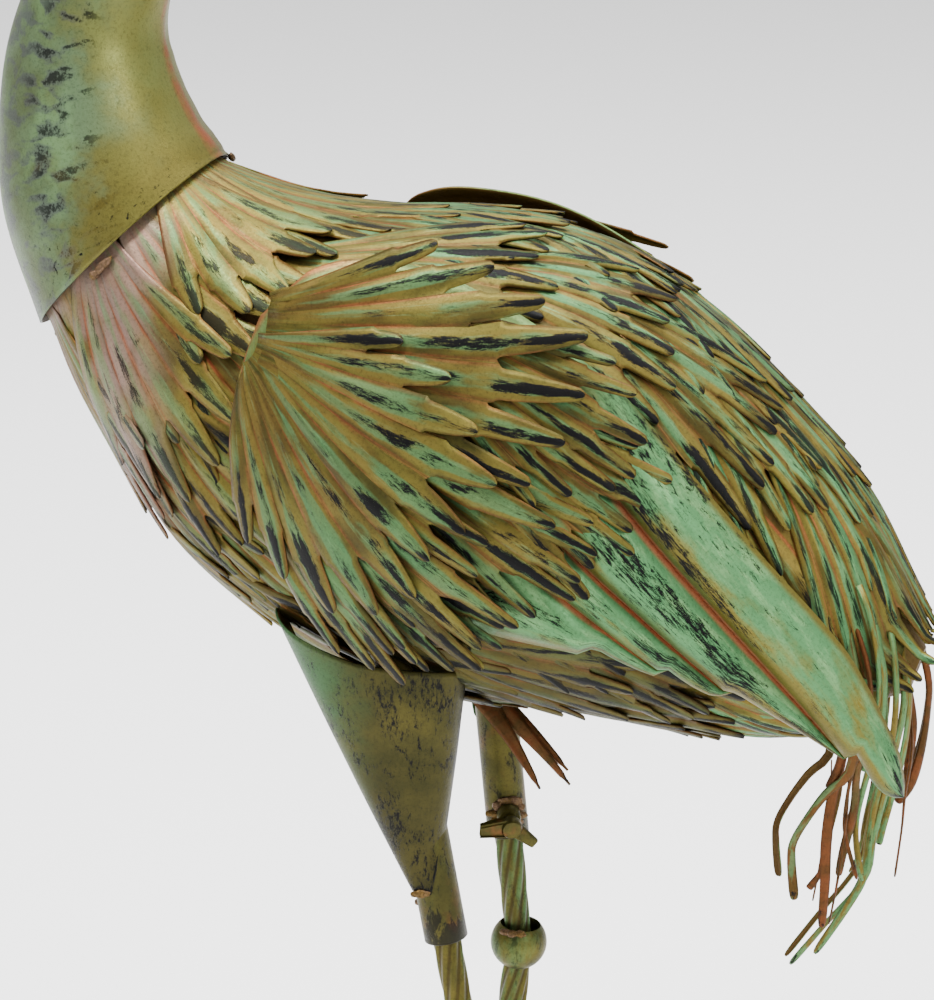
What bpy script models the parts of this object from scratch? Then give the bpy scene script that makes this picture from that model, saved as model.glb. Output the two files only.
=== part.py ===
"""Standing garden heron in painted sheet metal.

The bird faces -X and its left side faces -Y. Its feet stand on z = 0, and the
origin lies under the middle of the whole figure. The free forms, which are the
body, wings, neck, head and their feather plates, are drawn in units of 1/450 of
the body's length. Sheet, tubes, rods and fasteners have real sizes of their own.
"""

import math

import bmesh
import bpy
from mathutils import Vector
from mathutils.bvhtree import BVHTree

# Driving dimensions in metres
BODY_LENGTH = 0.450  # egg-shaped body, along its curved axis
BODY_WIDTH = 0.176  # widest place of the body, without its plates
COLLAR_DIAMETER = 0.1296  # open edge of the neck, which laps over the body
COLLAR_LAP = 0.010
NECK_HEIGHT = 0.343  # collar's middle to the head
NECK_TOP_DIAMETER = 0.038
HEAD_DEPTH = 0.050
BILL_LENGTH = 0.125
CREST_LENGTH = 0.085

SHEET = 0.0012
SEAM_GAP = 0.0003  # left between two pieces that touch
PLATE_RIDGE = 0.0012  # pressed ridge along each finger of a plate
PLATE_RISE = 0.072  # how far a plate lifts for each metre from its root
PLATE_ARCH = 0.0016  # quick first lift of a plate, just past its root

LEG_SPREAD = 0.110  # between the middles of the two legs
HIP_OVER_KNEE = 0.1905
KNEE_HEIGHT = 0.2595
LEG_TUBE_DIAMETER = 0.022
LEG_TUBE_WALL = 0.002
TUBE_IN_BODY = 0.028
THIGH_WIDTH = 0.082
THIGH_LENGTH = 0.116
THIGH_OVER_HIP = 0.006
LEG_ROD_DIAMETER = 0.015
ROD_UNDER_HIP = 0.050
ROD_TWIST_PITCH = 0.300  # height of one full turn of the twisted rod
KNEE_BALL_DIAMETER = 0.030
KNEE_BALL_WALL = 0.0025
SHANK_LEAN = 5.5  # degrees, the rod below the knee

SCREW_DIAMETER = 0.006
SCREW_CLEARANCE = 0.0003
SCREW_OVER_TUBE_END = 0.021
NUT_ACROSS = 0.012
NUT_HEIGHT = 0.006
WING_HEAD_SPAN = 0.034
WING_HEAD_THICKNESS = 0.003
SCREW_HEAD_STAND = 0.004  # bare thread between the nut and the winged head

FRONT_TOE_LENGTH = 0.112
HIND_TOE_LENGTH = 0.060
TOE_WIDTH = 0.013
TOE_SPREAD = 27  # degrees
FOOT_HUB_DIAMETER = 0.030
FOOT_HUB_HEIGHT = 0.013

CREST_STRIP_WIDTH = 0.006
FRINGE_STRIP_WIDTH = 0.0052
FRINGE_SHEET = 0.0009
FRINGE_DROP = 0.165

# Drawing units of the free forms
BODY_UNITS = 450
UNIT = BODY_LENGTH / BODY_UNITS
WIDTH_UNIT = BODY_WIDTH / 176
HIP_HEIGHT = KNEE_HEIGHT + HIP_OVER_KNEE
HIP_MARK = 450  # drawn height of the hips

# Each row: units along the body, then above, below and half as wide there
BODY_STATIONS = (
    (0, 58, 57, 52),
    (50, 73, 79, 66),
    (100, 94, 102, 79),
    (150, 116, 110, 86),
    (200, 130, 110, 88),
    (250, 131, 100, 86),
    (300, 119, 83, 78),
    (350, 97, 68, 64),
    (400, 65, 50, 44),
    (450, 12, 12, 10),
)
PLATE_ROOT_HALF = 5.0
FINGER_TIP_HALF = 2.8
INNER_ROW, RIDGE_ROW, VALLEY_ROW = 0.27, 0.50, 0.70  # shares of a finger's reach
BODY_START = (-175, 642)
BODY_RINGS = 15
BODY_SIDES = 24
PLUG_INSET = 0.0045  # how far the body narrows inside the collar

# Each row: plate name, units along the body to its root, degrees from the top,
# length, half spread in degrees, fingers
BODY_PLATES = (
    ("collar_upper", 1, 30, 104, 25, 5),
    ("collar_side", 1, 90, 104, 25, 5),
    ("collar_lower", 1, 150, 104, 25, 5),
    ("nape", 70, 0, 112, 27, 6),
    ("shoulder", 70, 60, 112, 27, 6),
    ("breast_side", 70, 120, 84, 27, 5),
    ("breast", 70, 180, 110, 27, 6),
    ("mantle", 138, 30, 118, 27, 6),
    ("belly_front", 140, 180, 98, 23, 5),
    ("back", 205, 0, 116, 27, 6),
    ("flank", 205, 60, 116, 27, 6),
    ("belly_side", 188, 105, 100, 24, 6),
    ("rump", 262, 30, 104, 24, 6),
    ("belly_rear", 252, 150, 104, 20, 5),
    ("tail_back", 322, 0, 92, 19, 5),
    ("tail_side", 322, 60, 86, 19, 5),
    ("vent", 312, 180, 92, 20, 5),
    ("tail_end", 376, 0, 70, 22, 5),
)

LOOSE_ROOT = 246  # units along the belly
LOOSE_LENGTH = 66

# Wing drawing: units behind the shoulder, then up from its middle line
WING_SHOULDER = (-77.5, 609)
WING_HEADING = -30.1
WING_RAISE = {1: 0.0, -1: 2.0}  # the right wing is set a little higher
WING_END = {1: 371, -1: 345}  # and ends shorter
WING_TIP_FROM = 320  # where the rounding of a wing's end starts
WING_TOP = (
    (-9, 21),
    (0, 52),
    (30, 76),
    (80, 90),
    (146, 88),
    (189, 76),
    (253, 53),
    (320, 21),
    (371, -13),
)
WING_FOOT = (
    (-9, 19),
    (-4, -8),
    (12, -40),
    (41, -69),
    (83, -80),
    (120, -70),
    (165, -52),
    (206, -33),
    (269, -20),
    (337, -19),
    (371, -17),
)
WING_GROOVES = ((-11.7, -0.22), (6.5, -0.294), (38.8, -0.40))  # height at 200, slope
WING_ROWS = 12
WING_FLUTE = 5.0
WING_STUB_AT = (105, 0)
WING_STUB_DIAMETER = 0.018

# Each row: plate name, root behind and above the shoulder, degrees up from the
# wing's middle line, length, half spread, fingers, shortening of the outer fingers,
# first lift in metres
WING_PLATES = (
    ("upper_cover", -4, 22, 26, 142, 19, 6, 0.30, 0.0030),
    ("lower_cover", 8, -24, -14, 158, 15, 6, 0.20, 0.0036),
    ("shoulder_cover", -5, 3, 8, 140, 34, 8, 0.52, 0.0070),
    ("upper_quills", 88, 60, -2, 112, 17, 5, 0.15, 0.0024),
    ("lower_quills", 68, 12, -4, 113, 17, 5, 0.15, 0.0024),
)
WING_PLATE_RISE = 0.040

# Neck and head: drawn x and z, half depth and half width
NECK_ROWS = (
    (-175, 642, 64.8, 60),
    (-186, 672, 57.5, 55),
    (-194, 703, 49.5, 48),
    (-196, 735, 42, 42),
    (-190, 766, 35.5, 35.5),
    (-170, 820, 28.5, 28.5),
    (-160, 870, 25, 25),
    (-175, 932, 21.5, 21.5),
    (-214, 985, 19, 19),
)
NECK_RINGS = 17
NECK_SIDES = 16
NECK_END_DIRECTION = Vector((-0.72, 0, 0.69))
ROD_LOBES = 5
ROD_VALLEY = 0.82
LEG_SIDES = 12
HELPER_COLOUR = (0.1, 0.1, 0.1)
HEAD_SIDES = 10
HEAD_RINGS = 11
CREST_AT = 0.22  # share of the head's and bill's length


def drawn(x, z, y=0.0):
    """A place of the side drawing, in metres over the floor."""
    return Vector((x * UNIT, y, HIP_HEIGHT + (z - HIP_MARK) * UNIT))


def ease(share):
    share = min(1.0, max(0.0, share))
    return share * share * (3 - 2 * share)


def curve_at(rows, place):
    """A smooth curve through rows of (place, value, ...), read at one place."""
    last = len(rows) - 1
    index = 0
    while index < last - 1 and place > rows[index + 1][0]:
        index += 1
    start, end = rows[index], rows[index + 1]
    before, after = rows[max(index - 1, 0)], rows[min(index + 2, last)]
    step = end[0] - start[0]
    share = (place - start[0]) / step
    values = []
    for column in range(1, len(start)):
        leave = (end[column] - before[column]) / (end[0] - before[0]) * step
        arrive = (after[column] - start[column]) / (after[0] - start[0]) * step
        values.append(
            (2 * share**3 - 3 * share**2 + 1) * start[column]
            + (share**3 - 2 * share**2 + share) * leave
            + (3 * share**2 - 2 * share**3) * end[column]
            + (share**3 - share**2) * arrive
        )
    return values


# Surfaces that the pieces are laid on


def body_axis():
    """The body's axis, one point and heading for each unit of its length."""
    point = drawn(*BODY_START)
    steps = []
    for place in range(BODY_UNITS + 1):
        heading = -math.radians(16 + 28 * math.exp(-place / 150))
        steps.append((point.copy(), heading))
        point += UNIT * Vector((math.cos(heading), 0, math.sin(heading)))
    return steps


AXIS = body_axis()
COLLAR_DIRECTION = Vector((-math.cos(AXIS[0][1]), 0, -math.sin(AXIS[0][1])))


def on_body(along, angle, lift=0.0):
    """Point over the body's skin; angle 0 is the back and 90 the left side."""
    start, heading = AXIS[min(BODY_UNITS, max(0, int(along)))]
    ahead = Vector((math.cos(heading), 0, math.sin(heading)))
    centre = start + ahead * (along - min(BODY_UNITS, max(0, int(along)))) * UNIT
    above, below, half = curve_at(BODY_STATIONS, max(0.0, along))
    turn = math.radians(angle)
    depth = (above if math.cos(turn) > 0 else below) * UNIT + lift
    up = Vector((-math.sin(heading), 0, math.cos(heading)))
    across = (half * WIDTH_UNIT + lift) * math.sin(turn)
    return centre + up * depth * math.cos(turn) - Vector((0, across, 0))


def on_wing(side, behind, above, out=0.0):
    """Point on the inner face of a wing; side is 1 on the left and -1 on the right."""
    heading = math.radians(WING_HEADING + WING_RAISE[side])
    x = WING_SHOULDER[0] + behind * math.cos(heading) - above * math.sin(heading)
    z = WING_SHOULDER[1] + behind * math.sin(heading) + above * math.cos(heading)
    bulge = 8 + 17 * ease(behind / 90) - 58 * ease((behind - 120) / 250)
    reach = BODY_WIDTH / 2 + (bulge - 0.003 * above * above) * UNIT + out
    return drawn(x, z, -side * reach)


# Building blocks


def paint(name, colour, roughness=0.55, metallic=0.35):
    """Painted metal with a faint metal sheen."""
    material = bpy.data.materials.new(name)
    material.use_nodes = True
    shader = material.node_tree.nodes["Principled BSDF"]
    shader.inputs["Base Color"].default_value = (*colour, 1.0)
    shader.inputs["Roughness"].default_value = roughness
    shader.inputs["Metallic"].default_value = metallic
    return material


def add_object(name, shape, colour):
    """Turn a bmesh into a named object of the figure."""
    mesh = bpy.data.meshes.new(name)
    shape.to_mesh(mesh)
    shape.free()
    mesh.shade_smooth()
    mesh.set_sharp_from_angle(angle=math.radians(35))
    mesh.materials.append(paint(name, colour))
    item = bpy.data.objects.new(name, mesh)
    bpy.context.collection.objects.link(item)
    return item


def finish_solid(name, shape, colour):
    bmesh.ops.recalc_face_normals(shape, faces=shape.faces)
    return add_object(name, shape, colour)


def sheet_grid(across, along, place):
    """A grid of quads whose points stand where place(across share, along share) says."""
    shape = bmesh.new()
    bmesh.ops.create_grid(shape, x_segments=across, y_segments=along, size=1)
    for index, vert in enumerate(shape.verts):
        row, column = divmod(index, across + 1)
        vert.co = place(column / across, row / along)
    bmesh.ops.remove_doubles(shape, verts=shape.verts, dist=1e-6)
    return shape


def loft(sides, rings, place):
    """A closed skin around rings, with flat ends."""
    shape = sheet_grid(sides, rings, place)
    open_edges = [edge for edge in shape.edges if edge.is_boundary]
    bmesh.ops.holes_fill(shape, edges=open_edges, sides=0)
    return shape


def turned(profile, sides):
    """A closed outline of (radius, height) spun around the Z axis."""
    shape = bmesh.new()
    verts = [shape.verts.new((radius, 0, height)) for radius, height in profile]
    edges = []
    for index, vert in enumerate(verts):
        on_axis = profile[index][0] == 0 and profile[index - 1][0] == 0
        if not on_axis:
            edges.append(shape.edges.new((verts[index - 1], vert)))
    bmesh.ops.spin(
        shape,
        geom=verts + edges,
        axis=(0, 0, 1),
        cent=(0, 0, 0),
        angle=2 * math.pi,
        steps=sides,
        use_merge=True,
    )
    bmesh.ops.remove_doubles(shape, verts=shape.verts, dist=1e-6)
    return shape


def disc_profile(radius, low, high):
    return ((0, low), (radius, low), (radius, high), (0, high))


def point_outward(shape, inside):
    """Make an open sheet's faces point away from a place behind it."""
    bmesh.ops.recalc_face_normals(shape, faces=shape.faces)
    shape.normal_update()
    total = sum(
        face.normal.dot(face.calc_center_median() - inside) * face.calc_area()
        for face in shape.faces
    )
    if total < 0:
        bmesh.ops.reverse_faces(shape, faces=shape.faces)


def finish_sheet(name, shape, inside, colour, thickness=SHEET):
    """An open sheet whose thickness grows away from the place inside."""
    point_outward(shape, inside)
    item = add_object(name, shape, colour)
    solid = item.modifiers.new("Sheet", "SOLIDIFY")
    solid.thickness = thickness
    solid.offset = 1
    return item


def combine(item, other, operation):
    """Join or cut item with a helper that isn't a piece itself."""
    other.hide_render = True
    other.display_type = "WIRE"
    step = item.modifiers.new(other.name, "BOOLEAN")
    step.operation = operation
    step.object = other


# Body and feather plates


def body_ring(row):
    """Units along the body for each ring; the first two make the plug in the collar."""
    if row == 0:
        return -(COLLAR_LAP - SEAM_GAP) / UNIT
    return BODY_UNITS * (row - 1) / (BODY_RINGS - 1)


def body_shape():
    def place(around, along):
        row = round(along * BODY_RINGS)
        inset = PLUG_INSET if row == 0 else 0.0
        return on_body(body_ring(row), 360 * around, -inset)

    return loft(BODY_SIDES, BODY_RINGS, place)


def skin_seat(skin, along, angle, lift):
    """A point that stands lift over the body's faceted skin."""
    above = on_body(along, angle, 0.030)
    inward = (on_body(along, angle, -0.030) - above).normalized()
    hit = skin.ray_cast(above, inward)[0]
    return (hit or on_body(along, angle)) - inward * lift


def plate_shape(place, length, spread, fingers, shorten):
    """A fan of ridged fingers; place(ahead, aside, lift) puts each point on its surface.

    Rows of three root and three inner points, then a ridge point and two tip points
    for each finger, and a valley point in each gap between fingers.
    """
    shape = bmesh.new()

    def polar(radius, angle, raised=0.0, aside=0.0):
        turn = math.radians(angle)
        ahead = radius * math.cos(turn) - aside * math.sin(turn)
        across = radius * math.sin(turn) + aside * math.cos(turn)
        return shape.verts.new(place(ahead, across, raised))

    def reach(share):
        return length * (1 - shorten * share * share)

    ends = (-1, 0, 1)
    roots = [shape.verts.new(place(0, end * PLATE_ROOT_HALF, 0)) for end in ends]
    inner = [polar(INNER_ROW * reach(end), spread * end) for end in ends]
    valleys = []
    for gap in range(fingers + 1):
        share = 2 * gap / fingers - 1
        valleys.append(polar(VALLEY_ROW * reach(share), spread * share))
    ridges = []
    for finger in range(fingers):
        share = (2 * finger + 1) / fingers - 1
        long_one = 1 + 0.04 * (-1) ** finger
        ridge = polar(RIDGE_ROW * reach(share), spread * share, PLATE_RIDGE)
        tips = [
            polar(long_one * reach(share), spread * share, 0, end * FINGER_TIP_HALF)
            for end in (-1, 1)
        ]
        shape.faces.new((valleys[finger], tips[0], ridge))
        shape.faces.new((tips[0], tips[1], ridge))
        shape.faces.new((tips[1], valleys[finger + 1], ridge))
        ridges.append(ridge)
    middle_row = [valleys[0]]
    for ridge, valley in zip(ridges, valleys[1:]):
        middle_row += [ridge, valley]
    count = len(middle_row) - 1
    thirds = [0] * (count // 3) + [1] * (count - 2 * (count // 3)) + [2] * (count // 3)
    for index, third in enumerate(thirds):
        shape.faces.new((inner[third], middle_row[index], middle_row[index + 1]))
        if third != thirds[index - 1] and index:
            shape.faces.new((inner[third - 1], middle_row[index], inner[third]))
    for first in (0, 1):
        shape.faces.new((roots[first], inner[first], inner[first + 1]))
        shape.faces.new((roots[first], inner[first + 1], roots[first + 1]))
    return shape


def past_root(ahead, aside):
    """Distance from a plate's root line, in drawing units."""
    return max(0.0, math.hypot(ahead, aside) - PLATE_ROOT_HALF)


def body_plates(skin):
    for name, root, angle, length, spread, fingers in BODY_PLATES:
        paired = 0 < angle < 180
        for side, prefix in ((1, "left_"), (-1, "right_")) if paired else ((1, ""),):

            def place(ahead, aside, raised):
                along = root + ahead
                depth, _, half = curve_at(BODY_STATIONS, min(BODY_UNITS, max(0, along)))
                turn = side * angle + math.degrees(aside / (0.5 * (half + depth)))
                away = past_root(ahead, aside)
                lift = SEAM_GAP + PLATE_RISE * away * UNIT
                lift += PLATE_ARCH * (1 - math.exp(-away / 15))
                return skin_seat(skin, along, turn, lift + raised)

            shape = plate_shape(place, length, spread, fingers, 0.10)
            start = on_body(root + 0.5 * length, side * angle, -0.030)
            tone = 0.5 + 0.5 * math.cos(math.radians(angle))
            colour = (0.30 + 0.06 * tone, 0.20 + 0.12 * tone, 0.10)
            finish_sheet(prefix + name + "_plate", shape, start, colour)


def loose_plate(skin):
    """A small three-fingered plate that hangs below the belly."""
    root = skin_seat(skin, LOOSE_ROOT, 180, SEAM_GAP)
    down = Vector((0.72, -0.05, -0.69))
    side = Vector((0, 1, 0))
    face = side.cross(down)

    def place(ahead, aside, raised):
        return root + (down * ahead + side * aside) * UNIT + face * raised

    shape = plate_shape(place, LOOSE_LENGTH, 14, 3, 0.10)
    inside = root + down * LOOSE_LENGTH / 2 * UNIT - face * 0.05
    finish_sheet("loose_belly_plate", shape, inside, (0.25, 0.12, 0.06))


# Wings


def wing_bands(behind):
    """Heights of the wing's edges and of the grooves between its long feathers."""
    foot = curve_at(WING_FOOT, behind)[0]
    top = max(foot, curve_at(WING_TOP, behind)[0])
    edges = [foot]
    count = len(WING_GROOVES) + 1
    real = ease((behind - 130) / 50)
    for number, (height, slope) in enumerate(WING_GROOVES, start=1):
        even = foot + (top - foot) * number / count
        groove = min(top, max(foot, height + slope * (behind - 200)))
        edges.append(even + (groove - even) * real)
    edges.append(top)
    return edges


def wing_shape(side):
    bands = 2 * (len(WING_GROOVES) + 1)
    first, last = WING_TOP[0][0], WING_END[side]
    squeeze = (WING_TOP[-1][0] - WING_TIP_FROM) / (last - WING_TIP_FROM)

    def place(across, along):
        behind = first + (last - first) * along**1.35
        past_tip = max(0, behind - WING_TIP_FROM)
        edges = wing_bands(behind + past_tip * (squeeze - 1))
        step = round(across * bands)
        low = edges[step // 2]
        if step % 2 == 0:
            return on_wing(side, behind, low)
        high = edges[step // 2 + 1]
        flute = min(WING_FLUTE, 0.22 * (high - low)) * ease((behind - 130) / 80)
        return on_wing(side, behind, (low + high) / 2, flute * UNIT)

    return sheet_grid(bands, WING_ROWS, place)


def face_along_y(skin, place, side):
    """Where a line across the bird first meets a skin, coming from one side."""
    start = Vector((place.x, -side * 0.5, place.z))
    return skin.ray_cast(start, Vector((0, side, 0)))[0]


def wings(body_skin):
    for side, word in ((1, "left"), (-1, "right")):
        shape = wing_shape(side)
        inside = on_wing(side, 180, 0, -0.3)
        point_outward(shape, inside)
        skin = BVHTree.FromBMesh(shape)
        wing = finish_sheet(word + "_wing", shape, inside, (0.30, 0.27, 0.11))

        weld = on_wing(side, *WING_STUB_AT)
        stub = turned(disc_profile(WING_STUB_DIAMETER / 2, 0, 1), 8)
        for vert in stub.verts:
            spot = weld + Vector((vert.co.x, 0, side * vert.co.y))
            if vert.co.z < 0.5:
                spot.y = face_along_y(body_skin, spot, side).y - side * SEAM_GAP
            else:
                spot.y = weld.y - side * 0.5 * SHEET
            vert.co = spot
        helper = finish_solid(word + "_wing_stub", stub, (0.2, 0.12, 0.06))
        combine(wing, helper, "UNION")

        for row in WING_PLATES:
            name, behind, above, angle, length, spread, fingers, shorten, first = row

            def place(ahead, aside, raised):
                turn = math.radians(angle)
                u = behind + ahead * math.cos(turn) - aside * math.sin(turn)
                v = above + ahead * math.sin(turn) + aside * math.cos(turn)
                away = past_root(ahead, aside)
                lift = SEAM_GAP + first * (1 - math.exp(-away / 18))
                lift += WING_PLATE_RISE * away * UNIT + raised + SHEET * 1.15
                base = on_wing(side, u, v)
                hit = face_along_y(skin, base, side)
                if hit:
                    base.y = hit.y
                return base - Vector((0, side * lift, 0))

            shape = plate_shape(place, length, spread, fingers, shorten)
            finish_sheet(word + "_" + name, shape, inside, (0.27, 0.22, 0.10))


# Neck and head


def swept(rows, first_direction, last_direction, turns):
    """Read (x, z, half depth, half width) rows as a bent tube of drawn units."""
    numbered = [(number, *row) for number, row in enumerate(rows)]
    last = len(rows) - 1

    def frame(share):
        spot = share * last
        x, z, depth, width = curve_at(numbered, spot)
        near = max(0.0, spot - 0.05)
        far = min(float(last), spot + 0.05)
        back = curve_at(numbered, near)
        ahead = curve_at(numbered, far)
        run = Vector((ahead[0] - back[0], 0, ahead[1] - back[1])).normalized()
        run = run.lerp(first_direction, 1 - ease(spot / turns))
        run = run.lerp(last_direction, 1 - ease((last - spot) / turns)).normalized()
        return drawn(x, z), run, depth, width

    return frame


def neck_rows():
    """The neck's drawing with its set height and end diameters put in."""
    base = NECK_ROWS[0]
    stretch = NECK_HEIGHT / UNIT / (NECK_ROWS[-1][1] - base[1])
    collar = COLLAR_DIAMETER / UNIT / 2 / base[2]
    tip = NECK_TOP_DIAMETER / UNIT / 2 / NECK_ROWS[-1][2]
    rows = []
    for x, z, depth, width in NECK_ROWS:
        height = (z - base[1]) * stretch
        share = (z - base[1]) / (NECK_ROWS[-1][1] - base[1])
        factor = collar + (tip - collar) * share
        rows.append((x, base[1] + height, depth * factor, width * factor))
    return rows


def bent_point(frame, around, share):
    """Point of a bent tube's skin; around runs from its upper or rear side."""
    centre, run, depth, width = frame(share)
    up = Vector((-run.z, 0, run.x)) * -1
    turn = 2 * math.pi * around
    return (
        centre
        + up * depth * UNIT * math.cos(turn)
        + Vector((0, 1, 0)) * width * UNIT * math.sin(turn)
    )


def neck():
    frame = swept(neck_rows(), COLLAR_DIRECTION, NECK_END_DIRECTION, 1.2)
    shape = loft(NECK_SIDES, NECK_RINGS, lambda a, b: bent_point(frame, a, b**1.15))
    shape.normal_update()
    collar = min(
        (face for face in shape.faces if len(face.verts) == NECK_SIDES),
        key=lambda face: face.calc_center_median().z,
    )
    bmesh.ops.inset_region(shape, faces=[collar], thickness=SHEET)
    made = bmesh.ops.extrude_discrete_faces(shape, faces=[collar])
    floor = made["faces"][0]
    centre = floor.calc_center_median()
    inward = COLLAR_DIRECTION.normalized()
    for vert in floor.verts:
        vert.co = centre + (vert.co - centre) * 0.90 + inward * COLLAR_LAP
    finish_solid("neck", shape, (0.22, 0.30, 0.22))
    return frame


def head(neck_frame):
    """Head and bill in one, butted against the neck."""
    end, run, depth, width = neck_frame(1.0)
    start = end + run * SEAM_GAP
    size = HEAD_DEPTH / 2 / UNIT
    bill = BILL_LENGTH / UNIT
    x0 = start.x / UNIT
    z0 = (start.z - HIP_HEIGHT) / UNIT + HIP_MARK
    rows = (
        (x0, z0, depth, width),
        (x0 - 13, z0 + 10, 0.90 * size, 0.80 * size),
        (x0 - 32, z0 + 17, size, 0.84 * size),
        (x0 - 50, z0 + 16, 0.82 * size, 0.70 * size),
        (x0 - 66, z0 + 12, 0.56 * size, 0.52 * size),
        (x0 - 78, z0 + 10, 0.43 * size, 0.40 * size),
        (x0 - 78 - 0.45 * bill, z0 + 5, 0.30 * size, 0.25 * size),
        (x0 - 78 - 0.85 * bill, z0 - 2, 0.11 * size, 0.10 * size),
        (x0 - 78 - bill, z0 - 5, 0.03 * size, 0.03 * size),
    )
    frame = swept(rows, run, Vector((-1, 0, -0.08)), 1.0)
    flat_top = 0.5 / HEAD_SIDES
    shape = loft(HEAD_SIDES, HEAD_RINGS, lambda a, b: bent_point(frame, a + flat_top, b))
    skin = BVHTree.FromBMesh(shape)
    finish_solid("head", shape, (0.24, 0.30, 0.20))
    return frame, skin


def comb_shape(paths, widths, lower_row, upper_row):
    """A root band with a strip from every second part of it, as one open sheet.

    paths gives each strip's points after the band, widths its span as a vector, and
    the two rows the band's edges.
    """
    shape = bmesh.new()
    lower = [shape.verts.new(point) for point in lower_row]
    upper = [shape.verts.new(point) for point in upper_row]
    for index in range(len(lower) - 1):
        shape.faces.new(
            (upper[index], upper[index + 1], lower[index + 1], lower[index])
        )
    for number, (path, width) in enumerate(zip(paths, widths)):
        left, right = lower[2 * number], lower[2 * number + 1]
        for step, point in enumerate(path, start=1):
            narrow = 1 - 0.6 * (step / len(path)) ** 3
            half = width * narrow / 2
            next_left = shape.verts.new(point - half)
            next_right = shape.verts.new(point + half)
            shape.faces.new((left, right, next_right, next_left))
            left, right = next_left, next_right
    return shape


def crest(head_frame, skin):
    """Three plumes on a small plate behind the top of the head."""
    top = bent_point(head_frame, 0, CREST_AT)

    def seat(behind, aside):
        above = top + Vector((behind, aside, HEAD_DEPTH))
        return skin.ray_cast(above, Vector((0, 0, -1)))[0] + Vector((0, 0, 1.5 * SEAM_GAP))

    strip = CREST_STRIP_WIDTH
    band, front, paths, widths = [], [], [], []
    for number in (-1, 0, 1):
        middle = 0.65 * number * strip
        for end in (-0.25, 0.25):
            band.append(seat(0, middle + end * strip))
            front.append(seat(-strip, middle + end * strip))
        root = (band[-1] + band[-2]) / 2
        length = CREST_LENGTH * (1 - 0.18 * abs(number))
        path = []
        for step in range(1, 5):
            share = step / 4
            back = length * (share - 0.15 * share**3)
            rise = length * (0.18 * share - 0.34 * share * share)
            path.append(root + Vector((back, 1.6 * middle * share, rise)))
        paths.append(path)
        widths.append(Vector((0, strip, 0)))
    shape = comb_shape(paths, widths, band, front)
    finish_sheet("crest", shape, top - Vector((0, 0, 0.2)), (0.16, 0.20, 0.12))


def tail_fringe(skin):
    """Narrow strips that hang from a band under the end of the body."""
    count, steps, seat = 8, 5, 428
    band, front, paths, widths = [], [], [], []
    for number in range(count):
        share = number / (count - 1)
        for end in (-0.25, 0.25):
            angle = 105 + 150 * (number + 0.5 + end) / count
            band.append(skin_seat(skin, seat, angle, 2 * SEAM_GAP))
            front.append(skin_seat(skin, seat - 8, angle, SEAM_GAP * 1.3))
        base = (band[-1] + band[-2]) / 2
        wave = math.sin(2.4 * number + 0.7)
        length = FRINGE_DROP * (0.84 + 0.16 * wave)
        side = (0.5 - share) * -2
        path = []
        place = base.copy()
        for step in range(1, steps + 1):
            part = step / steps
            slant = -28 - 60 * ease(part * 2) - (24 + 14 * wave) * part * part
            turn = math.radians(slant)
            place = place + Vector((
                math.cos(turn) * length / steps,
                0.0045 * side + 0.0012 * math.sin(3 * part + number),
                math.sin(turn) * length / steps,
            ))
            path.append(place)
        paths.append(path)
        turn = math.radians(50 + 14 * wave)
        width = FRINGE_STRIP_WIDTH * (1.0 if number % 4 else 1.5)
        widths.append(Vector((math.cos(turn), math.sin(turn), 0)) * width)
    shape = comb_shape(paths, widths, band, front)
    behind = AXIS[-1][0] + Vector((FRINGE_DROP, 0, 0))
    finish_sheet("tail_fringe", shape, behind, (0.28, 0.16, 0.08), FRINGE_SHEET)


# Legs


class Leg:
    """Where one leg stands: a knee, a tube leaning up from it and a rod leaning down."""

    def __init__(self, word, side, lean, knee_x, knee_drop, tube_end, ears):
        self.word = word
        self.side = side
        self.ears = math.radians(ears)
        self.lean = math.radians(lean)
        self.knee = Vector((knee_x * UNIT, -side * LEG_SPREAD / 2, KNEE_HEIGHT - knee_drop))
        self.tube_low = self.knee.z + tube_end
        self.screw = self.tube_low + SCREW_OVER_TUBE_END

    def at_height(self, z):
        """Point of the leg's middle line at a height over the floor."""
        rise = z - self.knee.z
        lean = self.lean if rise > 0 else -math.radians(SHANK_LEAN)
        return Vector((self.knee.x - rise * math.tan(lean), self.knee.y, z))


LEGS = (
    Leg("left", 1, 10.5, 15.7, 0.0055, 0.0525, 80),
    Leg("right", -1, 5.6, 12.0, 0.0, 0.0615, -30),
)


def across_leg(leg, item):
    """Stand an item modelled along +Z across the leg at the screw, pointing inward."""
    item.location = leg.at_height(leg.screw)
    item.rotation_euler = (-leg.side * math.pi / 2, 0, 0)


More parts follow.
